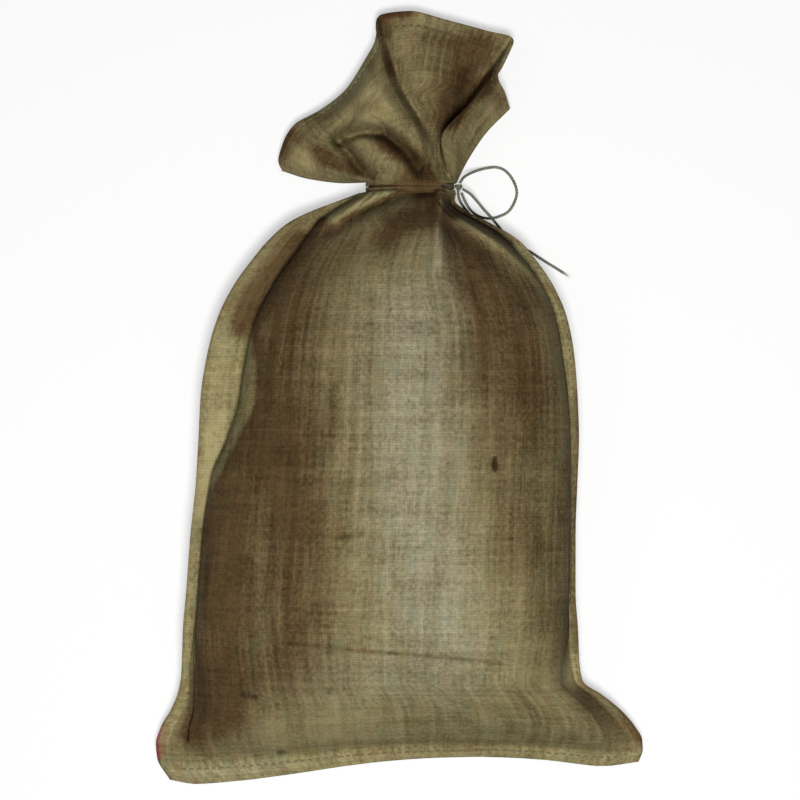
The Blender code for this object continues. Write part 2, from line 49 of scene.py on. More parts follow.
def eased(stations, values, at):
    # Cubic through the values with no overshoot: each slope is the harmonic mean of its neighbours' slopes.
    # A value may be one number or an array of them.
    stations, values, at = (np.asarray(v, dtype=float) for v in (stations, values, at))
    wide = (..., *[None] * (values.ndim - 1))
    at = np.clip(at, stations[0], stations[-1])
    steps = np.diff(stations)
    slopes = np.diff(values, axis=0) / steps[wide]
    before, after = slopes[:-1], slopes[1:]
    sameWay = before * after > 0
    middle = np.where(sameWay, 2 * before * after / np.where(sameWay, before + after, 1), 0)
    tangents = np.concatenate([slopes[:1], middle, slopes[-1:]])
    k = np.clip(np.searchsorted(stations, at, side="right") - 1, 0, len(steps) - 1)
    size, t = steps[k][wide], ((at - stations[k]) / steps[k])[wide]
    return (values[k] * (1 + 2 * t) * (1 - t) ** 2 + tangents[k] * size * t * (1 - t) ** 2
            + values[k + 1] * t * t * (3 - 2 * t) + tangents[k + 1] * size * t * t * (t - 1))


def smooth(low, high, x):
    # 0 below low, 1 above high, and 3t^2 - 2t^3 between.
    t = np.clip((x - low) / (high - low), 0, 1)
    return t * t * (3 - 2 * t)


def routeGap(x, y, route):
    # Distance in plan from each point to a line of straight runs, and the share of the line at its foot.
    lengths = np.linalg.norm(np.diff(route, axis=0), axis=1)
    starts = np.concatenate([[0], np.cumsum(lengths)])
    nearest = np.full(x.shape, np.inf)
    along = np.zeros(x.shape)
    for k, length in enumerate(lengths):
        way = (route[k + 1] - route[k]) / length
        foot = np.clip((x - route[k, 0]) * way[0] + (y - route[k, 1]) * way[1], 0, length)
        gap = np.hypot(x - route[k, 0] - foot * way[0], y - route[k, 1] - foot * way[1])
        closer = gap < nearest
        nearest = np.where(closer, gap, nearest)
        along = np.where(closer, (starts[k] + foot) / starts[-1], along)
    return nearest, along


def bells(x, y, rows, fade=0.0):
    # Sum of bell curves across each row's route, fading towards its far end.
    total = np.zeros(x.shape)
    for _name, route, halfWidth, rise in rows:
        gap, along = routeGap(x, y, np.array(route) * mm)
        total = total + rise * (1 - fade * along**2) * np.exp(-((gap / (halfWidth * mm)) ** 2))
    return total


def waves(x, y, seed, across, along, height):
    # Gentle uneven swells: height times the mean of some sines with random headings round the wavelengths.
    draw = np.random.default_rng(seed)
    total = np.zeros(np.broadcast(x, y).shape)
    for _ in range(waveCount):
        kx = 2 * math.pi / across * draw.uniform(0.5, 1.5) * draw.choice([-1, 1])
        ky = 2 * math.pi / along * draw.uniform(0.5, 1.5)
        total = total + np.sin(kx * x + ky * y + draw.uniform(0, 2 * math.pi))
    return total / math.sqrt(waveCount) * height


def unit(vectors):
    # Each vector divided by its length.
    return vectors / np.linalg.norm(vectors, axis=-1, keepdims=True)


def arcLength(points):
    # Length along each line of points, from 0 at its first.
    steps = np.cumsum(np.linalg.norm(np.diff(points, axis=-2), axis=-1), axis=-1)
    return np.concatenate([np.zeros(steps[..., :1].shape), steps], axis=-1)


def sampled(line, length, at):
    # The line's points at some lengths along it.
    return np.stack([np.interp(at, length, line[:, k]) for k in range(3)], axis=-1)


def ringed(line, right, up, angles, reach):
    # Ring of points round each point of a line: reach times the cosine along right and the sine along up.
    return line[..., None, :] + reach[..., None] * (np.cos(angles)[:, None] * right[..., None, :]
                                                    + np.sin(angles)[:, None] * up[..., None, :])


# Shader graphs written as sums and products

class Signal:
    # One number socket: arithmetic on it adds Math nodes.
    def __init__(self, graph, socket):
        self.graph, self.socket = graph, socket

    def calc(self, operation, *others, first=None):
        values = (self, *others) if first is None else (first, self)
        return self.graph.add("ShaderNodeMath", dict(operation=operation), dict(enumerate(values)))

    def __add__(self, other): return self.calc("ADD", other)
    def __radd__(self, other): return self.calc("ADD", other)
    def __sub__(self, other): return self.calc("SUBTRACT", other)
    def __rsub__(self, other): return self.calc("SUBTRACT", first=other)
    def __mul__(self, other): return self.calc("MULTIPLY", other)
    def __truediv__(self, other): return self.calc("DIVIDE", other)

    def sin(self): return self.calc("SINE")
    def floor(self): return self.calc("FLOOR")
    def abs(self): return self.calc("ABSOLUTE")
    def most(self, other): return self.calc("MAXIMUM", other)
    def least(self, other): return self.calc("MINIMUM", other)

    def between(self, low, high):
        # 0 below low, 1 above high, smooth between.
        return self.graph.add("ShaderNodeMapRange", dict(interpolation_type="SMOOTHSTEP"),
                              {"Value": self, "From Min": low, "From Max": high})


class Graph:
    # A material whose nodes are added by one method.
    def __init__(self, name, roughness, specular=0.5):
        self.material = bpy.data.materials.new(name)
        self.material.use_nodes = True
        self.tree = self.material.node_tree
        self.shader = self.tree.nodes["Principled BSDF"]
        self.give("Roughness", roughness)
        self.give("Specular IOR Level", specular)

    def add(self, kind, settings, values, output=0):
        node = self.tree.nodes.new(kind)
        for key, value in settings.items():
            setattr(node, key, value)
        for key, value in values.items():
            self.feed(node.inputs[key], value)
        return Signal(self, node.outputs[output])

    def feed(self, socket, value):
        if isinstance(value, Signal):
            self.tree.links.new(value.socket, socket)
        else:
            socket.default_value = value

    def give(self, name, value):
        self.feed(self.shader.inputs[name], value)

    def mix(self, factor, a, b, kind="MIX"):
        # Blend of two colours; a and b are colours or colour links.
        a, b = (v if isinstance(v, Signal) else (*v, 1.0) for v in (a, b))
        values = {"Factor": factor, 6: a, 7: b}
        return self.add("ShaderNodeMix", dict(data_type="RGBA", blend_type=kind), values, output=2)

    def noise(self, x, y, z=0.0, scale=1.0, detail=2.0, roughness=0.5):
        place = self.add("ShaderNodeCombineXYZ", {}, {0: x, 1: y, 2: z})
        values = {"Vector": place, "Scale": scale, "Detail": detail, "Roughness": roughness}
        return self.add("ShaderNodeTexNoise", {}, values)

    def cloth(self):
        # Metres across and along the cloth.
        place = self.add("ShaderNodeUVMap", dict(uv_map="cloth"), {})
        return (self.add("ShaderNodeSeparateXYZ", {}, {0: place}, output=k) for k in range(2))

    def bump(self, height, strength, distance):
        values = {"Strength": strength, "Distance": distance, "Height": height}
        self.give("Normal", self.add("ShaderNodeBump", {}, values))

    def attribute(self, name):
        return self.add("ShaderNodeAttribute", dict(attribute_name=name), {}, output=2)


jute = dict(
    pitchWarp=0.0026, pitchWeft=0.0028,          # thread spacing across and along the cloth
    swayWarp=0.0034, swayWeft=0.0040,            # and how far the threads wander
    dark=(0.105, 0.080, 0.030), light=(0.400, 0.345, 0.168), gap=(0.060, 0.044, 0.020),
    paintedShade=(0.37, 0.27, 0.24),                     # what cloth under painted shade is multiplied by
    paintedSheen=(1.03, 1.11, 1.50),                    # and what cloth under the painted sheen is multiplied by, to look greyer
    rust=(0.230, 0.115, 0.055), red=(0.40, 0.02, 0.07), roughness=0.88, fibreRough=0.12, specular=0.08,
    bump=0.00042, bumpStrength=0.75, gapShadeShare=0.32, rustShare=0.55, toneLevel=-2.02,
    mostUneven=0.7, mostShade=1.2,
)
# tinted patches: colour and share
tints = dict(green=((0.205, 0.225, 0.115), 0.40), pink=((0.340, 0.235, 0.130), 0.34),
             olive=((0.240, 0.195, 0.065), 0.40))
# noise over the cloth: cells for each metre across and along, seed, scale, detail and roughness
layers = dict(
    sway=(1, 1, 0, 90, 3, 0.5), lean=(1, 1, 3.7, 75, 3, 0.5),
    streak=(190, 7, 1.3, 1, 3, 0.6), crossStreak=(9, 190, 8.1, 1, 3, 0.6),
    slub=(45, 420, 2.2, 1, 1, 0.5), knop=(330, 150, 6.4, 1, 1, 0.5),
    stain=(1, 0.6, 9, 9, 4, 0.55), grime=(1, 0.7, 4, 45, 3, 0.6), grain=(1, 1, 15, 250, 2, 0.6),
    fibre=(1, 1, 7, 900, 2, 0.7), coarse=(1, 1, 21, 190, 2, 0.6), blotch=(120, 95, 17, 1, 2, 0.5),
    green=(75, 26, 11, 1, 2, 0.5), pink=(75, 26, 12, 1, 2, 0.5), olive=(75, 26, 13, 1, 2, 0.5),
)
# where a noise or a sum of them begins and is full
ranges = dict(slub=(0.69, 0.77), knop=(0.72, 0.80), blotch=(0.56, 0.70), green=(0.53, 0.69),
              pink=(0.56, 0.72), olive=(0.55, 0.71), tone=(-0.20, 1.20), gap=(0.14, 0.60))
# how much each noise adds to the tone, to the relief and to the painted shade
toneShares = dict(warpTone=0.64, weftTone=0.42, streak=0.60, crossStreak=0.62, stain=0.64, grime=0.80,
                  grain=1.00, fibre=0.28, slub=0.08, knop=-0.26)
reliefShares = dict(fibre=0.30, slub=0.5, knop=0.6, warpTone=0.35, weftTone=0.3)
shadeShares = dict(streak=-0.60, warpTone=-0.45, grain=-0.4)


def juteCloth(name):
    # Plain weave in cloth metres: two sets of round threads, each a raised cosine that dives under the other
    # at every second crossing; thread tone, slubs, stains and painted marks, some of them painted highlights
    # and shade, change the colour; painted sheen greys lit places, painted shade darkens the gaps between
    # threads, and painted shade on slopes and in creases multiplies the colour, more so on some threads.
    g = Graph(name, jute["roughness"], jute["specular"])
    u, v = g.cloth()
    part = {key: g.noise(u * across, v * along, *rest) for key, (across, along, *rest) in layers.items()}
    warp = (u + (part["sway"] - 0.5) * jute["swayWarp"]) / jute["pitchWarp"]
    weft = (v + (part["lean"] - 0.5) * jute["swayWeft"]) / jute["pitchWeft"]
    warpLine, weftLine = warp.floor(), weft.floor()

    warpUp = ((weft + warpLine) * math.pi).sin() * 0.5 + 0.5
    weftUp = 0.5 - ((warp + weftLine) * math.pi).sin() * 0.5
    warpHigh = (warp * math.pi).sin().abs() * (warpUp * 0.7 + 0.3)
    weftHigh = (weft * math.pi).sin().abs() * (weftUp * 0.7 + 0.3)
    height = warpHigh.most(weftHigh)

    # uneven threads: each has its own tone, and some have slubs and knots
    part["warpTone"] = g.noise(warpLine * 0.37, v * 6.0, roughness=0.6)
    part["weftTone"] = g.noise(u * 6.0, weftLine * 0.41, 5.0, roughness=0.6)
    for key in ("slub", "knop", "blotch", *tints):
        part[key] = part[key].between(*ranges[key])

    tone = g.attribute("tone") + g.attribute("coarse") * (part["coarse"] - 0.5) + jute["toneLevel"]
    for key, share in toneShares.items():
        tone = tone + part[key] * share
    base = g.mix(tone.between(*ranges["tone"]), jute["dark"], jute["light"])
    for key, (tint, share) in tints.items():
        base = g.mix(part[key] * share, base, tint)
    base = g.mix(part["blotch"] * g.attribute("coarse") * jute["rustShare"], base, jute["rust"])
    base = g.mix(g.attribute("rust"), base, jute["rust"])
    base = g.mix(g.attribute("red"), base, jute["red"])
    # painted sheen: the lit crest and ridge turn greyer
    base = g.mix(g.attribute("paintedSheen"), base, g.mix(1.0, base, jute["paintedSheen"], "MULTIPLY"))
    # painted shade in the gaps between threads, where they dive under each other
    base = g.mix((1 - height.between(*ranges["gap"])) * jute["gapShadeShare"], base, jute["gap"])
    # painted shade: slopes turned from the light, creases and hollows multiply the colour, unevenly along
    # some threads
    paintedShade = g.attribute("paintedShade")
    uneven = paintedShade.least(jute["mostUneven"])
    for key, share in shadeShares.items():
        paintedShade = paintedShade + uneven * (part[key] - 0.5) * share
    base = g.mix(paintedShade.most(0.0).least(jute["mostShade"]), base, g.mix(1.0, base, jute["paintedShade"], "MULTIPLY"))
    g.give("Base Color", base)
    g.give("Roughness", part["fibre"] * jute["fibreRough"] + jute["roughness"])
    for key, share in reliefShares.items():
        height = height + part[key] * share
    g.bump(height, jute["bumpStrength"], jute["bump"])
    return g.material


yarn = dict(
    roughness=0.9, specular=0.2, bump=0.0002, bumpStrength=0.7, grooveShadeShare=0.75, grooveShade=0.3,
    round=2600.0, slant=1500.0, along=260.0, blotchRound=40.0, blotchAlong=90.0,    # cells in a metre
    fibreShare=0.6, blotchShare=0.7, level=-0.15, shown=(0.1, 0.9),
)


def juteTwine(name, dark, light):
    # Twisted yarn: the UV runs round and along the twine in metres, and fine fibres slant across it.
    g = Graph(name, yarn["roughness"], yarn["specular"])
    u, v = g.cloth()
    fibre = g.noise(u * yarn["round"] + v * yarn["slant"], v * yarn["along"], roughness=0.6)
    blotch = g.noise(u * yarn["blotchRound"], v * yarn["blotchAlong"], 2.0, detail=3.0, roughness=0.6)
    tone = fibre * yarn["fibreShare"] + blotch * yarn["blotchShare"] + yarn["level"]
    base = g.mix(tone.between(*yarn["shown"]), dark, light)
    # painted shade in the grooves between the plies
    grooveShadeColour = tuple(c * yarn["grooveShade"] for c in dark)
    g.give("Base Color", g.mix(g.attribute("groove") * yarn["grooveShadeShare"], base, grooveShadeColour))
    g.bump(fibre, yarn["bumpStrength"], yarn["bump"])
    return g.material


# Meshes from arrays

def putMesh(name, points, faces, uv, paint, material):
    # One object at the origin: faces is a list of (faces x corners) arrays, uv one pair for each point, and
    # paint a dictionary of one number for each point. A face that spans the cloth's join takes one turn of u.
    mesh = bpy.data.meshes.new(name)
    corners = np.concatenate([block.ravel() for block in faces])
    sizes = np.concatenate([np.full(len(block), block.shape[1]) for block in faces])
    starts = np.concatenate([[0], np.cumsum(sizes)[:-1]])
    mesh.vertices.add(len(points))
    mesh.vertices.foreach_set("co", np.ascontiguousarray(points, np.float32).ravel())
    mesh.loops.add(len(corners))
    mesh.loops.foreach_set("vertex_index", corners.astype(np.int32))
    mesh.polygons.add(len(sizes))
    mesh.polygons.foreach_set("loop_start", starts.astype(np.int32))
    mesh.update(calc_edges=True)
    mesh.validate()
    layer = mesh.uv_layers.new(name="cloth")
    spread = uv[corners].copy()
    face = np.repeat(np.arange(len(sizes)), sizes)
    high = np.maximum.reduceat(spread[:, 0], starts)[face]
    spread[:, 0] += np.where(high - spread[:, 0] > 0.5, 1.0, 0.0)
    layer.data.foreach_set("uv", spread.astype(np.float32).ravel())
    for key, values in paint.items():
        attribute = mesh.attributes.new(key, "FLOAT", "POINT")
        attribute.data.foreach_set("value", values.astype(np.float32).ravel())
    mesh.shade_smooth()
    mesh.materials.append(material)
    obj = bpy.data.objects.new(name, mesh)
    bpy.context.scene.collection.objects.link(obj)
    return obj


def dressed(piece, node=None):
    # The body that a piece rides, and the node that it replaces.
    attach(piece, "root")
    if node:
        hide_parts(node)
    return piece


def ringFaces(rows, around, closedRows=False):
    # Quads between successive rings of points, each ring closed on itself.
    j = np.arange(rows if closedRows else rows - 1)[:, None] * around
    i = np.arange(around)[None, :]
    after, beside = (j + around) % (rows * around), (i + 1) % around
    return np.stack([j + i, j + beside, after + beside, after + i], axis=-1).reshape(-1, 4)


def tubes(count, rows, sides):
    # Faces of some tubes of equal size, each with a cap at both ends.
    cap = np.arange(sides)[None, :]
    single = ringFaces(rows, sides)[:, ::-1], cap, (cap + (rows - 1) * sides)[:, ::-1]
    first = rows * sides * np.arange(count)[:, None, None]
    return [(block[None] + first).reshape(-1, block.shape[1]) for block in single]


def zipped(upper, lower):
    # Triangles between two lines of points that start and end together, whatever their counts.
    n, m = len(upper) - 1, len(lower) - 1
    match = ((np.arange(n) + 0.5) * (m + 1) / n).astype(int)
    first = np.stack([upper[:-1], upper[1:], lower[match]], axis=-1)
    turn = np.searchsorted(match, np.arange(m), side="right")
    second = np.stack([lower[1:], lower[:-1], upper[turn]], axis=-1)
    return first, second


# The sack

sack = dict(
    cloth=0.002, hemCloth=0.0034, hemStart=0.92, hemEase=0.01, seam=0.003,
    bandSteps=9, quarterSteps=88, underBand=4, underRoll=9, underFlat=24, bodyRows=262,
    bandDip=0.005, dipFilled=0.03, dipBand=0.01, underRollWidth=0.055, rightFuller=0.35, overAt=0.7,
    earSoft=0.012, earBand=0.012, edgeEase=0.004, leastReach=0.0003,
    earRows=(5, 9), narrowRows=(6, 8),             # table rows between which an ear passes into the side
    neckX=0.0118, neckY=0.2083, neckZ=0.028, neckWide=0.0397, neckHigh=0.020,
    groove=0.0036, lipUnder=0.0036, lipOut=0.0052, lipRound=0.0004, lipTrim=0.0016, lipLean=0.0027,
    lipLess=0.6, lipLeast=0.0002, lipAt=0.0048, twineSide=0.86, twineEase=0.25,
    tuckX=0.034, tuckWide=0.040, tuckShut=0.42,    # where the lips close over the twine
    nearAt=0.28, farAt=0.62, sideFold=0.0085, mouthFloor=0.0008, backInset=0.003, pocketEnd=0.46,
    backPull=0.22, backFold=0.14, backFall=0.3,    # shares of the back's width and length
    mouthRows=78, mouthCrowd=0.55, flatWide=0.50, mostGather=1.9,
    creaseFade=0.6, filledAt=0.02, broadEase=0.03, fineEase=0.02, bandSwellAt=0.012,
    flute=0.0016, fluteFrom=0.2020, fluteReach=0.030, fluteSides=0.12, mouthFluteReach=0.16,
    bodyFlutes=(61, 2, 9, 0.5, 113, 1.0), mouthFlutes=(47, 1.5, 11, 0.6, 83, 0.7),
    mouthStart=0.1, mouthSides=0.05, swellFrom=(0.2, 0.6), swellSides=0.06, bottomRoll=0.0026,
    hemRise=0.0007, hemRiseEase=0.015, hemGroove=0.0008, hemGrooveReach=0.008, hemSides=0.04,
    mostStep=0.8, seamColumns=12,    # of the column beside the edge, and between points of the seam's line
)
# fields of swells, of shape and of colour: seed, wavelengths across and along, and height
swell = dict(
    broad=(3, 0.16, 0.24, 0.0011), fine=(4, 0.045, 0.11, 0.00045), band=(8, 0.030, 0.030, 0.0007),
    mouth=(5, 0.05, 0.06, 0.0008), tone=(6, 0.2, 0.3, 0.02), rust=(7, 0.02, 0.02, 0.4),
    mottle=(9, 0.012, 0.012, 0.04),
)
# what the face's paint adds at bands, edges and the bottom seam
wear = dict(seamTone=-0.20, seamReach=0.0022, bandTone=0.10, bandEase=0.003, coarse=0.25, bandCoarse=0.55,
            edgeDull=0.32, edgeReach=0.0028, mostShade=1.3, evenRust=0.6)

# the body from its bottom edge to the neck, in millimetres but for bodyShares
bodyNames = ("leftX", "leftY", "rightX", "rightY", "crest", "place", "seam", "belly",
             "bandL", "bandR", "full", "over", "bow")
bodyShares = ("place", "full", "bow")
bodyTable = (
    (-227.5, -378, 237, -360, 8, 0.5, 8, 5, 34, 26, 3.2, 0, 1),
    (-239.8, -357, 240.9, -348, 10.4, 0.5, 10.4, 7.2, 34, 26, 3.2, 0, 0.6),
    (-241, -342, 240, -337, 34, 0.5, 14.5, 6.2, 33, 25, 3, 0, 0.52),
    (-235.5, -324, 232, -323, 62, 0.51, 19, 2.6, 29, 23, 2.8, 2, 0.42),
    (-225, -306, 218, -307, 84, 0.52, 25, 0.6, 23, 20, 2.6, 2, 0.32),
    (-218, -289, 200.5, -292.5, 101.5, 0.53, 31, 0, 18, 17, 2.4, 3, 0.22),
    (-214.5, -271, 180, -277, 116.5, 0.54, 37, 0, 14, 13, 2.3, 3, 0.14),
    (-213.2, -250, 176.2, -254, 129, 0.55, 43, 0, 13, 12, 2.3, 3, 0.1),
    (-212.2, -227, 175, -228, 139, 0.55, 48, 0, 12, 9, 2.2, 3, 0.04),
    (-208.5, -186, 172.2, -186, 147, 0.55, 52, 0, 12, 6, 2.1, 3, 0),
    (-204.5, -134, 172.2, -134, 151, 0.55, 54, 0, 12, 5, 2, 3, 0),
    (-199, -81, 174, -81, 152, 0.55, 54, 0, 15, 6, 2, 4, 0),
    (-196.5, -39, 175.5, -39, 151, 0.56, 54, 0, 30, 8, 2, 5, 0),
    (-194.5, 2, 174.2, 2, 149, 0.56, 53, 0, 40, 9, 2, 6, 0),
    (-188, 44, 170.8, 44, 146, 0.56, 52, 0, 41, 11, 2, 7, 0),
    (-178.2, 79, 164, 79, 141, 0.57, 50, 0, 42, 11, 2, 8, 0),
    (-163, 110, 151, 110, 133, 0.57, 47, 0, 43, 11, 2, 8, 0),
    (-145.5, 135, 134.5, 135, 123, 0.58, 44, 0, 43, 12, 2, 8, 0),
    (-129, 155, 117.5, 155, 111, 0.59, 41, 0, 40, 13, 2, 7, 0),
    (-109.5, 172.5, 89, 172.5, 97, 0.61, 38, 0.5, 33, 12, 2, 6, 0),
    (-86, 184.5, 66, 184.5, 83, 0.62, 35, 1.5, 24, 8, 2, 4, 0),
    (-58.5, 195, 54.5, 195, 69, 0.6, 32, 2.6, 12, 4, 2, 2, 0),
    (-41, 202, 56, 202, 56, 0.55, 29, 3.4, 3, 2, 2, 0, 0),
)
bottomBow = ((0.0, 0.0), (0.06, -0.0052), (0.15, -0.0035), (0.28, 0.0020), (0.42, 0.0090),
             (0.56, 0.0116), (0.70, 0.0105), (0.82, 0.0040), (0.93, -0.0030), (1.0, 0.0))

# the mouth's fold lines from left to right, in millimetres: a near point, a far point and the rim
foldNames = ("nearX", "nearY", "nearZ", "farX", "farY", "farZ", "rimX", "rimY", "rimZ")
foldTable = (
    (-53.5, 213, 20, -89.7, 217.5, 15, -116.5, 225.8, 11),
    (-55.5, 221.5, 30, -94.6, 233.8, 27, -120, 235.7, 12),
    (-48.5, 230.8, 30, -79.9, 251.4, 40, -114.2, 255.3, 16),
    (-36.8, 236.7, 44, -63.2, 263.1, 50, -103.4, 271, 19),
    (-19.1, 241.6, 54, -48.5, 274.9, 60, -80, 284, 22),
    (-3.4, 243.6, 52, -36.8, 288.6, 67, -54.4, 303.3, 26),
    (8.3, 245.5, 54, -22, 300.4, 66, -34.8, 332.7, 28),
    (20.1, 246.5, 52, -9.3, 307.2, 52, -24, 353.3, 28),
    (29.9, 247.5, 38, 2.5, 310.2, 26, -20, 377.8, 22),
    (33.8, 248.5, 32, 20.1, 314.1, 31, 10.3, 382.2, 24),
    (35.8, 248.5, 29, 39.7, 312.1, 34, 47.5, 372.9, 26),
    (37.7, 248.5, 26, 57.3, 306.2, 26, 83.8, 363.1, 27),
    (39.7, 248, 24, 69.1, 297.4, 15, 110.3, 354.3, 29),
    (41.2, 252.4, 54, 67.1, 285.7, 56, 96.5, 317, 47),
    (54.4, 243.5, 48, 78.9, 280.8, 44, 104.4, 300.4, 30),
    (65.2, 230.8, 28, 84.8, 261.2, 24, 109.3, 286.7, 18),
)

# where each crease or ridge runs, its half width and its rise, in millimetres
creaseTable = (
    ("bandFold", ((12, 204), (-23, 201), (-47, 188), (-67, 175)), 8, 11),
    ("underBand", ((27, 203), (3, 199), (-23, 189), (-41, 178), (-71, 160)), 6, -11),
    ("neckRidge", ((41, 202), (37, 170), (40, 134)), 7, 10),
    ("neckValley", ((49, 198), (53, 160), (64, 116)), 10, -11),
    ("shoulderRidge", ((47, 179), (83, 158), (103, 145), (123, 128), (142, 108), (156, 84)), 5.5, 8),
    ("shoulderHollow", ((56, 162), (84, 141), (110, 114), (130, 80)), 10, -7.5),
    ("gatherOne", ((-4, 202), (-10, 180)), 5, 4),
    ("gatherTwo", ((14, 202), (10, 166)), 5, -4.5),
    ("gatherThree", ((25, 202), (21, 150)), 6, 3.5),
    ("lowRightCrease", ((165, -195), (166, -246), (177, -280)), 6, -3.5),
    ("rightEarCrease", ((222, -316), (230, -342)), 5, -3),
    ("leftSlack", ((-150, -80), (-142, -160), (-152, -235)), 18, -5),
    ("tongueArc", ((-59, 256), (-39, 262), (-16, 261), (2, 248), (13, 233), (20, 219)), 6, -24),
    ("tongueSide", ((-61, 254), (-49, 242), (-38, 227), (-25, 216)), 5.5, -17),
    ("mouthValley", ((-12, 349), (-6, 332), (3, 307), (13, 288), (26, 270), (36, 251)), 6, -6),
)

# folds that run on across the tie, over the twine
neckFoldTable = (
    ("tuckOver", ((48, 236), (43.5, 208.3), (40, 188)), 6, 6),
    ("leftTuck", ((-6, 232), (-1, 208.3), (-8, 190)), 5.5, 3),
    ("smallTuck", ((20, 232), (19, 208.3), (15, 190)), 3.5, 1.8),
)

# slubs, spots and pale places on the face, with painted highlights on the crest, ridges and folds
# and painted shade in hollows and on the tongue's shaded side: where, half width, and how much lighter or
# darker
marksAndLightTable = (
    ("slubLine", ((-112, -233), (-76, -237), (-19, -242), (52, -248), (98, -254)), 1.9, -0.42),
    ("slubDark", ((90, -59), (90.5, -66)), 2.6, -1.3),
    ("slubLeft", ((-161, -153), (-142, -154)), 1.9, -0.55),
    ("slubPair", ((-63, -134), (-34, -129)), 1.9, -0.5),
    ("spotLow", ((-149, -287), (-148, -287)), 2.8, -1.4),
    ("spotBeside", ((-141, -289), (-140, -289)), 2.4, -1),
    ("spotMiddle", ((-69, -279), (-67, -283)), 2.4, -0.7),
    ("spotSeam", ((-119, -350), (-113, -350)), 2.4, -0.85),
    ("streakDark", ((-27, 96), (-27, -154)), 1.6, -0.2),
    ("streakLeft", ((-80, 40), (-84, -210)), 3, -0.12),
    ("crestPale", ((15, 60), (10, -60), (30, -205)), 55, 0.1),
    ("lowPale", ((-120, -325), (-80, -300), (-10, -290)), 32, 0.22),
    ("lowestPale", ((-130, -330), (-10, -328)), 14, 0.22),
    ("bandPale", ((-125, 150), (-170, 80), (-188, 0)), 20, 0.14),
    ("puffPale", ((-48, 308), (-25, 282)), 18, 0.34),
    ("tonguePale", ((-36, 250), (0, 226)), 9, 0.3),
    ("tipPale", ((-104, 240), (-90, 232)), 8, 0.3),
    ("bandFoldPale", ((-64, 177), (-47, 189), (-23, 202), (4, 205)), 6, 0.34),
    ("ridgePale", ((40, 190), (36.5, 165), (37, 130)), 3.6, 0.36),
    ("shoulderPale", ((60, 171), (83, 157), (103, 144), (123, 127), (142, 107), (158, 80)), 5, 0.08),
    ("flangePale", ((-176, -20), (-184, -41), (-187, -70), (-191, -112)), 8, 0.6),
    ("lowRightPale", ((166, -262), (168, -284)), 8, 0.35),
    ("rimDark", ((-16.2, 380.7), (-13.2, 361.1)), 6, -0.8),
    ("leftSidePale", ((-37, 317), (-49, 304), (-62, 295), (-76, 285)), 6, 0.55),
    ("hollowDark", ((63, 322), (59, 297), (50, 271)), 6.5, -0.42),
    ("hollowLine", ((91, 310), (79, 296.5), (65, 284.7), (51.5, 269)), 5, -0.6),
    ("tongueShade", ((-15, 252), (-1, 243), (11, 234), (22, 223)), 8, -0.6),
)
# painted sheen: greyer colour on the lit crest, the ridge and the bottom band: where, half width and strength
sheenTable = (
    ("crest", ((14, 70), (12, 0), (18, -120), (34, -215)), 50, 1),
    ("crestLow", ((-60, -265), (60, -270)), 30, 0.35),
    ("ridge", ((41, 165), (38, 110)), 10, 0.5),
    ("bottomBand", ((-210, -372), (-120, -362)), 12, 0.3),
)
# painted shade on broad slopes that turn from the light, off the bands: where, half width and strength; below
# 0 it clears painted shade
slopeShadeTable = (
    ("left", ((-108, 130), (-128, 20), (-124, -30)), 64, 1),
    ("leftBelow", ((-118, -125), (-120, -215), (-128, -245)), 62, 0.92),
    ("leftFar", ((-30, 60), (-46, 30), (-66, -21)), 36, 0.2),
    ("leftFarLow", ((-76, -120), (-74, -198), (-78, -246)), 34, 0.22),
    ("leftEdgeLow", ((-164, -95), (-168, -205)), 18, 0.6),
    ("leftClear", ((-135, -100), (-130, -237)), 18, -0.22),
    ("leftLow", ((-182, -120), (-182, -245)), 24, 0.55),
    ("leftEar", ((-186, -275), (-178, -312), (-196, -330)), 21, 0.95),
    ("right", ((66, 150), (99, 100), (110, 20)), 52, 0.86),
    ("rightEdge", ((122, 100), (126, 40), (144, -10), (146, -40)), 18, 0.2),
    ("rightLow", ((110, -55), (114, -105)), 48, 0.66),
    ("rightCorner", ((118, -286), (146, -307)), 20, 0.35),
    ("underNeck", ((46, 176), (22, 174), (1, 168), (-14, 152)), 16, 0.62),
    ("neckRight", ((67, 146), (75, 97), (74, 20)), 14, 0.34),
    ("neckClear", ((24, 150), (26, 116)), 12, -0.35),
    ("rightBelow", ((120, -155), (126, -190), (148, -235)), 34, 0.48),
    ("rightSide", ((159, -70), (161, -198), (164, -235)), 13, 0.3),
    ("rightEar", ((190, -300), (222, -330)), 20, 0.55),
    ("shoulder", ((-40, 150), (-10, 165), (12, 176)), 20, 0.3),
    ("flangeEdge", ((-146.5, 62), (-148, 25), (-150, -10), (-168, -41), (-187, -70)), 11, -1),
    ("shoulderEdge", ((59, 171), (83, 157), (103, 144), (123, 127), (142, 107), (158, 80)), 6.5, -0.6),
)
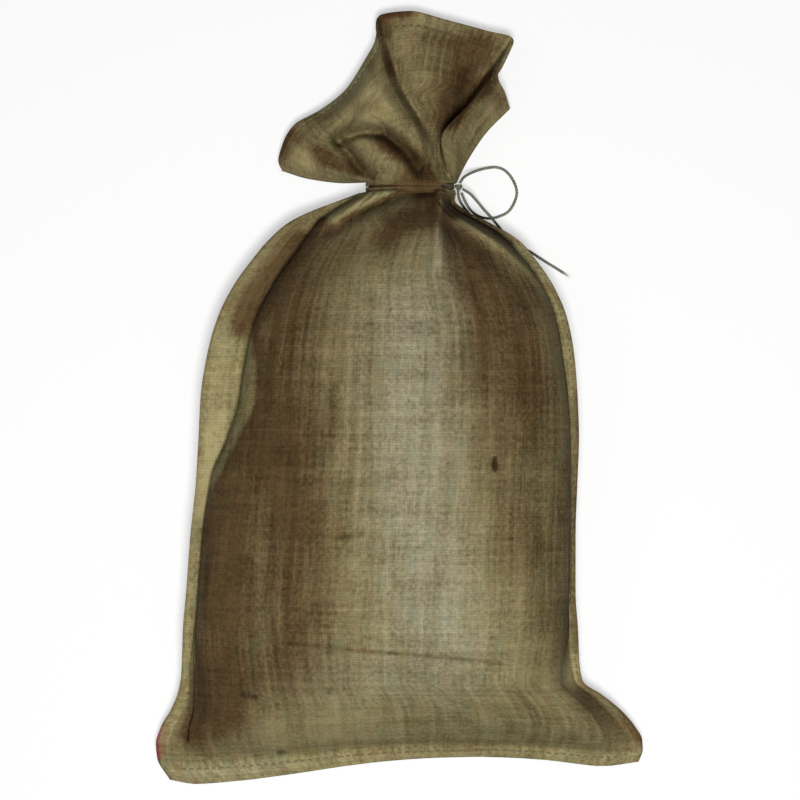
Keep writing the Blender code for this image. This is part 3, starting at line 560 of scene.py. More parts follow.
# painted shade in creases, hollows and under folds, and one dark slub, the same way; below 0 they clear the
# slopes' painted shade
shadeTable = (
    ("bandFold", ((-66, 176), (-47, 189), (-23, 202), (4, 205)), 7, -0.7),
    ("frill", ((-90, 250), (-40, 250), (20, 245), (30, 340)), 45, 0.36),
    ("hollow", ((73, 346), (61, 316), (50, 278)), 20, 1),
    ("hollowEdge", ((93, 318), (70, 298), (52, 282), (44, 274)), 7, 0.9),
    ("lobe", ((82, 306), (100, 294)), 10, 0.6),
    ("panelRight", ((90, 352), (86, 335)), 10, 0.5),
    ("corner", ((-22, 370), (-16, 346), (-8, 322)), 7.5, 0.85),
    ("rimCorner", ((-16, 380), (8, 380)), 6.5, 1),
    ("leftSide", ((-22, 345), (-40, 314), (-70, 289)), 8, -0.8),
    ("tongueRight", ((-15, 253), (-1, 243), (11, 234), (22, 223)), 9.5, 1.2),
    ("hemPatch", ((30, 355), (51, 350)), 10, 0.45),
    ("sideFold", ((-40, 285), (-27, 285)), 8, 0.4),
    ("tongueLow", ((-50, 244), (-38, 228), (-26, 217)), 4.5, 0.55),
    ("tipHollow", ((-81, 242), (-64, 233), (-42, 224)), 7, 0.9),
    ("tipClear", ((-104, 242), (-92, 237)), 9, -0.45),
    ("tip", ((-118, 238), (-110, 262)), 7, 0.75),
    ("underBand", ((28, 203), (3, 201), (-23, 191), (-41, 180), (-71, 163)), 4.5, 0.5),
    ("gap", ((-76, 174), (-97.5, 140.6), (-131.8, 86.7)), 4.5, 1),
    ("gapLow", ((-135, 97), (-141, 79), (-140, 62), (-137, 42), (-131, 19), (-134, -6), (-146, -31),
                (-162, -60), (-174, -85)), 5, 0.75),
    ("flangeInner", ((-98, 155), (-127, 121), (-149, 92), (-156, 67)), 11, 0.95),
    ("flangeTop", ((-73, 190), (-98, 170), (-117, 148), (-145, 113), (-160, 79)), 15, 0.42),
    ("earInner", ((-194, -276), (-199, -300), (-206, -317), (-213, -333)), 10, 0.6),
    ("earFoot", ((-161, -286), (-156, -325)), 22, 0.36),
    ("rightEarEdge", ((228, -316), (238, -330)), 9, 0.8),
    ("lowEdge", ((-235, -350), (-190, -356)), 10, 0.3),
    ("shoulderOuter", ((55, 190), (85, 171), (108, 153)), 5.5, 0.9),
    ("neck", ((6, 211), (30, 209), (28, 196)), 11, 1.05),
    ("lip", ((-28, 205.8), (20, 205.8)), 4, 0.75),
    ("underLine", ((8, 204), (-6, 198), (-23, 188), (-41, 180), (-53, 173.5)), 2.7, 1),
    ("ridgeClear", ((40, 190), (36.5, 165), (37, 130)), 4, -0.3),
    ("slubSpot", ((90, -60), (90.5, -66)), 2.4, 0.9),
    ("rightBand", ((174.5, 0), (173.5, -81), (172.2, -134), (172.2, -186), (175, -245)), 6, 0.45),
    ("rightEarTop", ((182, -284), (206, -299), (226, -319), (237, -338)), 10, 0.55),
    ("tie", ((-28, 208.3), (50, 208.3)), 2, 0.9),
)
rustTable = (
    ("hemCorner", ((-20, 378), (0, 379)), 10, 0.75),
    ("leftTip", ((-116, 240), (-105, 262)), 10, 0.6),
    ("lowBand", ((-60, 166), (-70, 150)), 10, 0.25),
    ("slubRust", ((-45, -239.5), (-20, -242)), 2.2, 0.4),
    ("seamRust", ((-48, -353.5), (-8, -352.5)), 2.6, 0.3),
    ("lowCorner", ((-232, -320), (-236, -345)), 6, 0.3),
)
redTable = (("redYarn", ((-238.5, -324), (-242.5, -340), (-240, -353)), 3.4, 0.9),)


def quarterOval(angles, reach, height, full):
    # Quarter of a superellipse, from the steep foot to the level crest.
    run = reach * (1 - np.maximum(np.cos(angles), 0) ** (2 / full))
    return run, height * np.maximum(np.sin(angles), 0) ** (2 / full)


def bodyRow():
    # The table read at even steps, one column for each name.
    places = np.arange(len(bodyTable))
    at = np.linspace(0, len(bodyTable) - 1, sack["bodyRows"])
    return {name: eased(places, column * (1 if name in bodyShares else mm), at)[:, None]
            for name, column in zip(bodyNames, np.array(bodyTable).T)}


def dipOf(row):
    # How far the seam bands sink towards the crease, less where the sack is flat or the band narrow.
    filled = np.clip((row["crest"] - row["seam"]) / sack["dipFilled"], 0, 1)
    return sack["bandDip"] * filled * np.clip(row["bandL"] / sack["dipBand"], 0, 1)


def bowedY(row, x):
    # Each row runs straight from its left to its right end, bent by its share of the bottom's bow.
    across = (x - row["leftX"]) / (row["rightX"] - row["leftX"])
    bowAt, bow = np.array(bottomBow).T
    return row["leftY"] + (row["rightY"] - row["leftY"]) * across + row["bow"] * eased(bowAt, bow, across)


def bodyUnder(row):
    # Underside: a band under each seam, an oval roll down to the floor, and a flat belly.
    creaseL, creaseR = row["leftX"] + row["bandL"], row["rightX"] - row["bandR"]
    roll = np.minimum(sack["underRollWidth"], (creaseR - creaseL) / 2)
    band = np.linspace(0, 1, sack["underBand"] + 1)[None, :]
    angles = np.linspace(0, math.pi / 2, sack["underRoll"] + 1)[None, :]
    flat = np.linspace(0, 1, sack["underFlat"] + 1)[None, :]
    start = row["seam"] - sack["seam"] - dipOf(row)
    run, fall = quarterOval(angles, roll, start - row["belly"], 2.0)
    bandZ = row["seam"] - sack["seam"] - dipOf(row) * band**2
    flatX = creaseL + roll + (creaseR - creaseL - 2 * roll) * flat
    x = np.hstack([row["leftX"] + band * row["bandL"], (creaseL + run)[:, 1:], flatX[:, 1:-1],
                   (creaseR - run)[:, ::-1], (row["rightX"] - band * row["bandR"])[:, -2::-1]])
    z = np.hstack([bandZ, (start - fall)[:, 1:], row["belly"] + 0 * flat[:, 1:-1], (start - fall)[:, ::-1],
                   bandZ[:, -2::-1]])
    return x, z


def softened(x, z, reach):
    # Mean height within reach of each point, row by row, from the running area under the row.
    x = np.maximum.accumulate(x, axis=1)
    strips = np.diff(x, axis=1) * (z[:, 1:] + z[:, :-1]) / 2
    area = np.concatenate([np.zeros((len(x), 1)), np.cumsum(strips, axis=1)], axis=1)
    reach = np.maximum(reach, 0)
    low, high = (np.array([np.interp(*line) for line in zip(x + way * reach, x, area)]) for way in (-1, 1))
    return np.where(reach > sack["leastReach"], (high - low) / np.maximum(2 * reach, 1e-6), z)


def fluting(at, first, bend, slow, share, second, start):
    # Uneven flutes: a bent sine and a share of a quicker one, in radians across.
    return np.sin(at * first + bend * np.sin(at * slow)) + share * np.sin(at * second + start)


def bodyTop(row):
    # Face: a flat band, a left and a right quarter oval up to the crest, and a flat band, then creases and
    # small swells. The swells die out at the outer edge, where face and underside meet.
    creaseL, creaseR = row["leftX"] + row["bandL"], row["rightX"] - row["bandR"]
    crestX = creaseL + (creaseR - creaseL) * row["place"]
    band = np.linspace(0, 1, sack["bandSteps"] + 1)[None, :]
    angles = np.linspace(0, math.pi / 2, sack["quarterSteps"] + 1)[None, :]
    dip = dipOf(row)
    filled = row["crest"] - row["seam"] + dip
    foot = row["seam"] - dip
    runL, riseL = quarterOval(angles, crestX - creaseL, filled, row["full"])
    runR, riseR = quarterOval(angles, creaseR - crestX, filled, row["full"] + sack["rightFuller"])
    push = row["over"] * np.sin(np.clip(angles / sack["overAt"], 0, 1) * math.pi)
    bandZ = row["seam"] - dip * band**2
    x = np.hstack([row["leftX"] + band * row["bandL"], (creaseL + runL - push)[:, 1:],
                   (creaseR - runR)[:, -2::-1], (row["rightX"] - band * row["bandR"])[:, -2::-1]])
    z = np.hstack([bandZ, (foot + riseL)[:, 1:], (foot + riseR)[:, -2::-1], bandZ[:, -2::-1]])
    y = bowedY(row, x)
    shaped = np.clip((row["crest"] - row["seam"]) / sack["filledAt"], 0, 1)
    edge = np.minimum(x - row["leftX"], row["rightX"] - x)
    inward = np.clip(edge / sack["edgeEase"], 0, 1)
    place = np.linspace(0, len(bodyTable) - 1, len(x))[:, None]
    z = softened(x, z, np.minimum(sack["earSoft"] * (1 - smooth(*sack["earRows"], place)), edge))
    z = z + bells(x, y, creaseTable, sack["creaseFade"]) * mm * shaped * inward
    z = z + waves(x, y, *swell["broad"]) * smooth(0.0, sack["broadEase"], edge) * shaped
    z = z + waves(x, y, *swell["fine"]) * smooth(0.0, sack["fineEase"], edge)
    alongBand = np.exp(-((edge - sack["bandSwellAt"]) / sack["bandSwellAt"]) ** 2) * inward
    z = z + waves(x, y, *swell["band"]) * alongBand
    # flutes that fan out from the neck
    across = np.linspace(0, 1, x.shape[1])[None, :]
    near = np.exp(-np.maximum(sack["fluteFrom"] - y, 0) / sack["fluteReach"])
    near = near * smooth(0.0, sack["fluteSides"], across) * smooth(0.0, sack["fluteSides"], 1 - across)
    z = z + near * sack["flute"] * fluting(across, *sack["bodyFlutes"])
    z = z + bells(x, y, neckFoldTable) * mm * inward
    # the bottom band is a soft roll between the edge and its seam
    z = z + sack["bottomRoll"] * np.sin(math.pi * np.clip(place, 0, 1)) * inward
    return x, y, z


def bodyGrids():
    row = bodyRow()
    x, y, z = bodyTop(row)
    underX, underZ = bodyUnder(row)
    below = np.array([np.interp(*line) for line in zip(x, underX, underZ)])
    top = np.stack([x, y, np.maximum(z, below + sack["seam"])], axis=-1)
    under = np.stack([underX, bowedY(row, underX), underZ], axis=-1)
    return top, under


def neckRing(y, grow, lean=0.0, trim=0.0):
    # Upper and lower half of an ellipse round the neck, leaning over the groove except at the twine's side.
    wide, high = sack["neckWide"] + grow, sack["neckHigh"] + grow
    side = math.asin(sack["seam"] / 2 / high)
    halves = []
    for count, sign in ((topCount, 1), (underCount, -1)):
        angles = np.linspace(math.pi - side, side, count)
        closed = np.clip((sack["twineSide"] - np.cos(angles)) / sack["twineEase"], 0, 1)
        x = sack["neckX"] + wide * np.cos(angles) - trim * (1 - closed)
        tucked = np.exp(-((x - sack["tuckX"]) / sack["tuckWide"]) ** 2) if sign > 0 else 0
        level = y + lean * closed * (1 + sack["tuckShut"] * tucked)
        z = sack["neckZ"] + sign * high * np.sin(angles)
        if sign > 0 and grow > 0:
            z = z + bells(x, level, neckFoldTable) * mm * np.sin(angles)
        halves.append(np.stack([x, level, z], axis=-1))
    return halves


def neckGrids():
    # Rings from the body's lip down into the groove, along it and out to the mouth's lip.
    middle, low, high = sack["neckY"], sack["neckY"] - sack["groove"], sack["neckY"] + sack["groove"]
    least, lean, trim, out, under = (sack["lip" + k] for k in ("Least", "Lean", "Trim", "Out", "Under"))
    rounded, less = out + sack["lipRound"], lean * sack["lipLess"]
    places = (
        (middle - sack["lipAt"], out, 0, trim), (low + least, rounded, less, trim),
        (low + least, out, lean, trim), (low + least, under, lean, 0), (low, under, 0, 0), (low, 0, 0, 0),
        (high, 0, 0, 0), (high, under, 0, 0), (high - least, under, -lean, 0),
        (high - least, out, -lean, trim), (high - least, rounded, -less, trim),
    )
    halves = [neckRing(*place) for place in places]
    return np.array([top for top, _ in halves]), np.array([under for _, under in halves])


def mouthFront(rows):
    # Front of the mouth: each fold's line runs from the neck's lip through its near and far points to the
    # rim, then creases, flutes at the neck, the stitched groove under the hem and small swells are added.
    lip, _ = neckRing(sack["neckY"] + sack["lipAt"], sack["lipOut"])
    fold = dict(zip(foldNames, np.array(foldTable).T * mm))
    places = np.linspace(0, 1, len(foldTable))
    at = np.linspace(0, 1, len(lip))
    near, far, rim = (np.stack([eased(places, fold[part + axis], at) for axis in "XYZ"], axis=-1)
                      for part in ("near", "far", "rim"))
    front = eased((0, sack["nearAt"], sack["farAt"], 1), (lip, near, far, rim), rows)
    x, y, z = np.moveaxis(front, -1, 0)
    sides = np.minimum(at, 1 - at)[None, :]
    share = rows[:, None]
    started = np.clip(share / sack["mouthStart"], 0, 1) * np.clip(sides / sack["mouthSides"], 0, 1)
    flutes = fluting(at, *sack["mouthFlutes"])[None, :] * np.exp(-share / sack["mouthFluteReach"])
    flutes = flutes * smooth(0.0, sack["mouthStart"], share)
    z = z + bells(x, y, creaseTable, sack["creaseFade"]) * mm * started
    z = z + flutes * sack["flute"] * smooth(0.0, sack["fluteSides"], sides)
    away = smooth(*sack["swellFrom"], share) * smooth(0.0, sack["swellSides"], sides)
    z = z + waves(x, y, *swell["mouth"]) * away
    hem = smooth(sack["hemStart"], sack["hemStart"] + sack["hemRiseEase"], share)
    stitched = np.exp(-(((share - sack["hemStart"]) / sack["hemGrooveReach"]) ** 2))
    z = z + (sack["hemRise"] * hem - sack["hemGroove"] * stitched) * smooth(0.0, sack["hemSides"], sides)
    front[..., 2] = np.maximum(z, sack["mouthFloor"] + sack["sideFold"])
    return front


def mouthBack(front, rows):
    # Back of the mouth: straight lines from the lip to a rim a little inside the front's, lying on the floor
    # and turned up to the front at both sides.
    _, lip = neckRing(sack["neckY"] + sack["lipAt"], sack["lipOut"])
    at = np.linspace(0, 1, len(lip))
    rim = sampled(front[-1], np.arange(front.shape[1]), np.linspace(0, front.shape[1] - 1, len(lip)))
    rim[:, :2] -= unit(rim[:, :2] - rim[:, :2].mean(axis=0)) * sack["backInset"]
    share = rows[:, None]
    back = lip[None] + (rim - lip)[None] * share[..., None]
    floor = sack["mouthFloor"]
    lying = floor + (lip[None, :, 2] - floor) * np.clip(1 - share / sack["backFall"], 0, 1) ** 2
    for side, column in ((0, 0), (1, -1)):
        pull = np.clip(1 - np.abs(at - side) / sack["backPull"], 0, 1)[None, :, None] ** 2
        back[..., :2] += (front[:, column, :2] - back[:, column, :2])[:, None] * pull
        near = np.clip(1 - np.abs(at - side) / sack["backFold"], 0, 1)[None, :] ** 2
        edge = front[:, column, 2][:, None] - sack["sideFold"]
        lying = lying + (np.maximum(edge, lying) - lying) * near * np.clip(share / sack["mouthSides"], 0, 1)
    back[..., 2] = lying
    return back


def outward(grid):
    # Unit normal at each point: the mean of the normals of the faces round it.
    faces = np.cross(grid[1:, 1:] - grid[:-1, :-1], grid[1:, :-1] - grid[:-1, 1:])
    faces = faces / np.maximum(np.linalg.norm(faces, axis=-1, keepdims=True), 1e-12)
    faces = np.pad(faces, ((1, 1), (1, 1), (0, 0)), mode="edge")
    normal = faces[1:, 1:] + faces[1:, :-1] + faces[:-1, 1:] + faces[:-1, :-1]
    return normal / np.maximum(np.linalg.norm(normal, axis=-1, keepdims=True), 1e-9)


def inner(grid, rows, sign):
    # Inner face of the mouth's wall, from the rim down into the pocket, thicker at the hem. The back lies
    # nearly flat, so its inner face is straight above it.
    atHem = smooth(sack["hemStart"] - sack["hemEase"], sack["hemStart"] + sack["hemEase"], rows)
    thick = (sack["cloth"] + (sack["hemCloth"] - sack["cloth"]) * atHem)[:, None, None]
    face = grid - outward(grid) * thick if sign > 0 else grid + np.array((0, 0, 1)) * thick
    for side, inward in ((0, 1), (-1, -2)):
        step = grid[:, inward] - grid[:, side]
        size = np.linalg.norm(step, axis=-1, keepdims=True)
        face[:, side] = grid[:, side] + step * np.minimum(thick[:, 0] / size, sack["mostStep"])
        face[:, side, 2] = grid[:, side, 2] - sign * thick[:, 0, 0]
    return face[rows >= sack["pocketEnd"]][::-1]


def clothPlace(top, under, turnAt):
    # Cloth metres of every point: u by arc length across, gathered at most mostGather times, and v by the
    # mean length along; past row turnAt the cloth has turned inside, and v runs back.
    def across(grid):
        arc = arcLength(grid)
        whole = arc[:, -1:]
        gather = np.minimum(sack["flatWide"] / whole, sack["mostGather"])
        return sack["flatWide"] / 2 + (arc - whole / 2) * gather

    step = np.linalg.norm(np.diff(top, axis=0), axis=-1).mean(axis=1)
    along = np.concatenate([[0], np.cumsum(step)])
    along = np.where(np.arange(len(along)) > turnAt, 2 * along[turnAt] - along, along)
    u = np.concatenate([across(top), 2 * sack["flatWide"] - across(under)[:, ::-1]], axis=1)
    return np.stack([u, np.broadcast_to(along[:, None], u.shape)], axis=-1)


topCount = 2 * (sack["bandSteps"] + sack["quarterSteps"]) + 1
underCount = 2 * (sack["underBand"] + sack["underRoll"]) + sack["underFlat"] + 1


def mouthSteps():
    # Rows from the neck to the rim, closer at both ends.
    t = np.linspace(0, 1, sack["mouthRows"])
    return t - sack["mouthCrowd"] * np.sin(2 * math.pi * t) / (2 * math.pi)


def makeSack(material):
    rows = mouthSteps()
    body, belly = bodyGrids()
    neck, neckUnder = neckGrids()
    front = mouthFront(rows)
    back = mouthBack(front, rows)
    top = np.concatenate([body, neck, front, inner(front, rows, 1)])
    under = np.concatenate([belly, neckUnder, back, inner(back, rows, -1)])
    rings = np.concatenate([top, under[:, ::-1]], axis=1)
    count, around = rings.shape[:2]
    points = rings.reshape(-1, 3)
    index = np.arange(len(points)).reshape(count, around)
    faces = [ringFaces(count, around)[:, ::-1]]
    for ring, turned in ((index[0], False), (index[-1], True)):
        for block in zipped(ring[:topCount], ring[topCount:][::-1]):
            faces.append(block[:, ::-1] if turned else block)
    rim = len(body) + len(neck) + len(front)
    uv = clothPlace(top, under, rim - 1).reshape(-1, 2)

    # the share of each point in the outside, in the seam bands and in their outer edge; at the ears the band
    # is no wider than its seam allowance
    outside, banded, outer = np.zeros((3, count, around))
    outside[:rim, :topCount] = 1
    seamRow = (sack["bodyRows"] - 1) // (len(bodyTable) - 1) + 1
    fromSide = np.minimum(np.arange(topCount), np.arange(topCount)[::-1])
    place = np.linspace(0, len(bodyTable) - 1, len(body))[:, None]
    fromEdge = np.minimum(*(np.linalg.norm(body - body[:, [side]], axis=-1) for side in (0, -1)))
    narrow = 1 - smooth(sack["earBand"], sack["earBand"] + wear["bandEase"], fromEdge)
    narrow = narrow + (1 - narrow) * np.maximum(smooth(*sack["narrowRows"], place), place < 1)
    inBand = (fromSide <= sack["bandSteps"]) | (np.arange(len(body))[:, None] < seamRow)
    banded[: len(body), :topCount] = inBand * narrow
    outer[: len(body), :topCount] = np.exp(-(fromEdge / wear["edgeReach"]) ** 2)
    seen, band, outer = outside.ravel(), banded.ravel(), outer.ravel()

    x, y, _ = points.T
    seamGap, _ = routeGap(x, y, body[seamRow, :: sack["seamColumns"], :2])
    bandTone = wear["bandTone"] + waves(x, y, *swell["mottle"])
    seamTone = wear["seamTone"] * np.exp(-(seamGap / wear["seamReach"]) ** 2)
    rustShare = wear["evenRust"] + waves(x, y, *swell["rust"])
    # painted shade: broad slopes off the bands, creases and hollows, and darker along the bands' outer edge
    paintedShade = bells(x, y, slopeShadeTable) * (1 - band) + bells(x, y, shadeTable) + wear["edgeDull"] * outer * band
    # tone carries slubs, spots and the marks table's painted highlights and painted shade
    paint = dict(
        tone=(bells(x, y, marksAndLightTable) + seamTone) * seen + waves(x, y, *swell["tone"]) + band * bandTone,
        coarse=wear["coarse"] + band * wear["bandCoarse"],
        paintedSheen=np.clip(bells(x, y, sheenTable), 0, 1) * seen,
        paintedShade=np.clip(paintedShade, 0, wear["mostShade"]) * seen,
        rust=np.clip(bells(x, y, rustTable) * rustShare, 0, 1) * seen,
        red=np.clip(bells(x, y, redTable), 0, 1),
    )
    piece = dressed(putMesh("jute_sack", points, faces, uv, paint, material), "sack")
    print("sack", len(points), "points")
    return piece, body, front, rows, rim


# Twine

twine = dict(
    across=0.0028, ply=0.0062, plies=2, sides=14, step=0.0006, between=24,
    core=0.74, lobe=0.30, lobePower=0.7, grooveEnd=0.55,    # shares of the radius, and of a lobe
    dark=(0.105, 0.108, 0.072), light=(0.31, 0.31, 0.225),
    woundDark=(0.055, 0.047, 0.026), woundLight=(0.150, 0.130, 0.078),    # the turns lie in shade
    woundAcross=0.0025, woundOut=0.00165, woundAside=0.00118, woundSway=0.0002, woundSteps=460,
    knotAcross=0.0024, knotSteps=150, knotAt=(0.0583, 0.2083, 0.0240), knotReach=(0.00105, 0.00092, 0.00100),
    knotRise=1.6, knotSide=(0.2, 0.3, 1.0), seeds=(21, 22),
    frays=16, frayReach=(0.004, 0.009), frayThick=0.00016, frayCurl=0.25,
    frayStart=0.0004 * np.array((1, 1, 0.5)), fraySpread=0.30 * np.array((1, 1, 0.25)),
)

loopRoute = (
    (59.7, 212.9, 24.8), (63.2, 218, 21.5), (69, 222.2, 15), (77, 225.8, 8.5), (86, 228.5, 4),
    (95.5, 229.6, 1.8), (104, 226.8, 1.6), (111, 219.5, 1.6), (116, 208.5, 1.6), (115.5, 198.5, 1.6),
    (109, 186.5, 1.6), (99, 180.8, 1.6), (89, 178.8, 2), (79.5, 180.5, 4), (71, 186, 10), (65, 194.5, 16.5),
    (61.2, 203, 20.5),
)
tailRoute = (
    (62.6, 206.6, 22.8), (70, 202, 18), (76.5, 195.5, 11.5), (83, 188, 7), (88.5, 182.2, 5.8),
    (93, 177, 5.6), (98.5, 170.5, 3.6), (104.5, 163.5, 1.8), (111.5, 155.5, 1.6), (119.5, 150, 1.6),
    (129, 146.2, 1.6), (138.5, 140, 1.6), (147, 134.5, 1.6), (156, 129, 1.6), (163, 124.5, 1.6),
)
shortRoute = (
    (57.8, 204.5, 21.2), (58.5, 199, 17), (60.5, 194.5, 12), (64, 189.5, 7), (68, 185, 3.2),
    (72.5, 180, 1.6), (76.5, 175, 1.6),
)


def smoothRoute(route, step):
    # Even points on a curve through the route's own points (Catmull-Rom).
    route = np.array(route) * mm
    ends = np.vstack([2 * route[0] - route[1], route, 2 * route[-1] - route[-2]])
    t = np.linspace(0, 1, twine["between"], endpoint=False)[None, :, None]
    a, b, c, d = (ends[k: len(ends) - 3 + k][:, None] for k in range(4))
    fine = 0.5 * (2 * b + (c - a) * t + (2 * a - 5 * b + 4 * c - d) * t**2 + (3 * b - a - 3 * c + d) * t**3)
    fine = np.vstack([fine.reshape(-1, 3), route[-1]])
    length = arcLength(fine)
    return sampled(fine, length, np.linspace(0, length[-1], max(int(length[-1] / step), 8))), length[-1]


def twistedTube(name, path, across, material, closed=False, reference=(0.0, 0.0, 1.0)):
    # Twine along a path: the section is a ring of lobes, one for each ply, that turns as it goes along.
    rows, sides, plies = len(path), twine["sides"], twine["plies"]
    way = np.roll(path, -1, axis=0) - np.roll(path, 1, axis=0) if closed else np.gradient(path, axis=0)
    ahead = unit(way)
    right = unit(np.cross(ahead, reference))
    length = arcLength(path)
    turns = length / twine["ply"]
    if closed:
        turns = np.linspace(0, round(turns[-1]), rows, endpoint=False)
    angles = np.linspace(0, 2 * math.pi, sides, endpoint=False)
    lobe = np.abs(np.cos(plies / 2 * (angles - 2 * math.pi * turns[:, None])))
    radius = across / 2 * (twine["core"] + twine["lobe"] * lobe ** twine["lobePower"])
    points = ringed(path, right, np.cross(right, ahead), angles, radius).reshape(-1, 3)
    faces = [ringFaces(rows, sides, True)[:, ::-1]] if closed else tubes(1, rows, sides)
    uv = np.stack(np.broadcast_arrays(angles * across / 2, length[:, None]), axis=-1).reshape(-1, 2)
    # where the grooves between plies take painted shade
    paint = dict(groove=1 - smooth(0.0, twine["grooveEnd"], lobe))
    return putMesh(name, points, faces, uv, paint, material)


def makeTwine():
    plain = juteTwine("twine_fibres", twine["dark"], twine["light"])
    made = {}
    for name, route, end in (("twine_loop", loopRoute, "object"), ("twine_tail", tailRoute, "bare"),
                             ("twine_short_end", shortRoute, "bare")):
        path, length = smoothRoute(route, twine["step"])
        piece = dressed(twistedTube(name + "_yarn", path, twine["across"], plain), name)
        made[name] = (piece, path, length, end)

    fray = dressed(frayedEnd(made["twine_tail"][1], plain))
    for name, (piece, path, length, end) in made.items():
        [fray] if name == "twine_tail" else []

    wound = juteTwine("wound_twine", twine["woundDark"], twine["woundLight"])
    turn = np.linspace(0, 2 * math.pi, twine["woundSteps"], endpoint=False)
    out = twine["woundOut"]
    for k, side in enumerate((-1, 1)):
        aside = side * twine["woundAside"] + twine["woundSway"] * np.sin(3 * turn + k)
        ring = np.stack([sack["neckX"] + (sack["neckWide"] + out) * np.cos(turn), sack["neckY"] + aside,
                         sack["neckZ"] + (sack["neckHigh"] + out) * np.sin(turn)], axis=-1)
        piece = twistedTube(f"neck_turn_{k + 1}", ring, twine["woundAcross"], wound, True, (0.0, 1.0, 0.0))
        dressed(piece, "neck_binding")

    # the knot: twine wound as a trefoil, drawn tight
    t = np.linspace(0, 2 * math.pi, twine["knotSteps"], endpoint=False)
    trefoil = (np.sin(t) + 2 * np.sin(2 * t), np.cos(t) - 2 * np.cos(2 * t),
               -twine["knotRise"] * np.sin(3 * t))
    path = twine["knotAt"] + np.stack(trefoil, axis=-1) * twine["knotReach"]
    knot = twistedTube("twine_knot_yarn", path, twine["knotAcross"], plain, True, twine["knotSide"])
    dressed(knot, "twine_knot")
    print("twine made")


hair = dict(steps=6, sides=3, taper=0.75, leastHeight=0.0004, side=(0.31, 0.22, 0.93))


def hairs(name, starts, ways, lengths, thick, curl, material, seed):
    # Thin hairs that taper: each bends from its start along its way by a quadratic curl.
    draw = np.random.default_rng(seed)
    steps, sides = hair["steps"], hair["sides"]
    along = np.linspace(0, 1, steps)[:, None]
    bend = draw.normal(0, 1, (len(starts), 1, 3)) * curl
    lengths = lengths[:, None, None]
    line = starts[:, None] + ways[:, None] * along * lengths + bend * along**2 * lengths
    line[..., 2] = np.maximum(line[..., 2], hair["leastHeight"])
    ahead = unit(np.gradient(line, axis=1))
    right = unit(np.cross(ahead, hair["side"]))
    angles = np.arange(sides) * 2 * math.pi / sides
    radius = thick * (1 - hair["taper"] * along)
    points = ringed(line, right, np.cross(right, ahead), angles, radius).reshape(-1, 3)
    uv = np.stack([points[:, 0] % 0.4, points[:, 1] + 1.0], axis=-1)
    faces = tubes(len(starts), steps, sides)
    return putMesh(name, points, faces, uv, dict(groove=np.zeros(len(points))), material)


def frayedEnd(path, material):
    # Loose fibres that spread from the cut end of the tail.
    spreadSeed, curlSeed = twine["seeds"]
    draw = np.random.default_rng(spreadSeed)
    count = twine["frays"]
    starts = path[-3] + draw.normal(0, 1, (count, 3)) * twine["frayStart"]
    ways = unit(path[-1] - path[-6]) + draw.normal(0, 1, (count, 3)) * twine["fraySpread"]
    lengths = draw.uniform(*twine["frayReach"], count)
    thick, curl = twine["frayThick"], twine["frayCurl"]
    return hairs("tail_fray", starts, ways, lengths, thick, curl, material, curlSeed)


# Sewing

stitch = dict(
    long=0.0052, gap=0.0022, wide=0.0008, high=0.0005, sunk=0.0002, steps=7, sides=8,
    tip=0.02, arch=0.8, bottomRows=40,    # squared radius at the tips, rise of the middle, rows looked at
    dark=(0.050, 0.038, 0.020), light=(0.150, 0.122, 0.068),
    seamDark=(0.12, 0.096, 0.048), seamLight=(0.24, 0.205, 0.110),
    hemEnds=3, bottomEnds=5, bottomUp=0.0090,                       # points left free, height above the edge
    sideRows=(26, 236), sideIn=0.0045, leastIn=0.2, mostIn=0.7,     # metres in, and shares of the band
)


def stitchRow(name, line, normals, material, ends=0):
    # Running stitches on a line of points: each is a small lozenge that dives into the cloth at both ends.
    line, normals = (part[ends: len(part) - ends] for part in (line, normals))
    length = arcLength(line)
    long, gap, wide, high = (stitch[k] for k in ("long", "gap", "wide", "high"))
    steps, sides = stitch["steps"], stitch["sides"]
    count = int((length[-1] - gap) / (long + gap))
    along = np.linspace(-0.5, 0.5, steps)
    at = gap + long / 2 + np.arange(count)[:, None] * (long + gap) + along * long
    middle, normal = sampled(line, length, at), unit(sampled(normals, length, at))
    right = np.cross(unit(np.gradient(middle, axis=1)), normal)
    angles = np.linspace(0, 2 * math.pi, sides, endpoint=False)
    plump = np.sqrt(np.clip(1 + stitch["tip"] - (2 * along) ** 2, stitch["tip"], 1))[:, None]
    lift = (np.cos(along * math.pi) ** 0.5 * high * stitch["arch"] - stitch["sunk"])[:, None]
    points = ringed(middle + normal * lift, right * wide, normal * high, angles, plump).reshape(-1, 3)
    uv = np.stack([np.tile(angles * wide, count * steps), np.repeat(at.ravel(), sides)], axis=-1)
    faces = tubes(count, steps, sides)
    dressed(putMesh(name, points, faces, uv, dict(groove=np.zeros(len(points))), material))


def rowAt(grid, share):
    # A line across the grid between two of its rows, with the normals there.
    k = int(share)
    t = share - k
    normals = outward(grid)
    return grid[k] * (1 - t) + grid[k + 1] * t, normals[k] * (1 - t) + normals[k + 1] * t


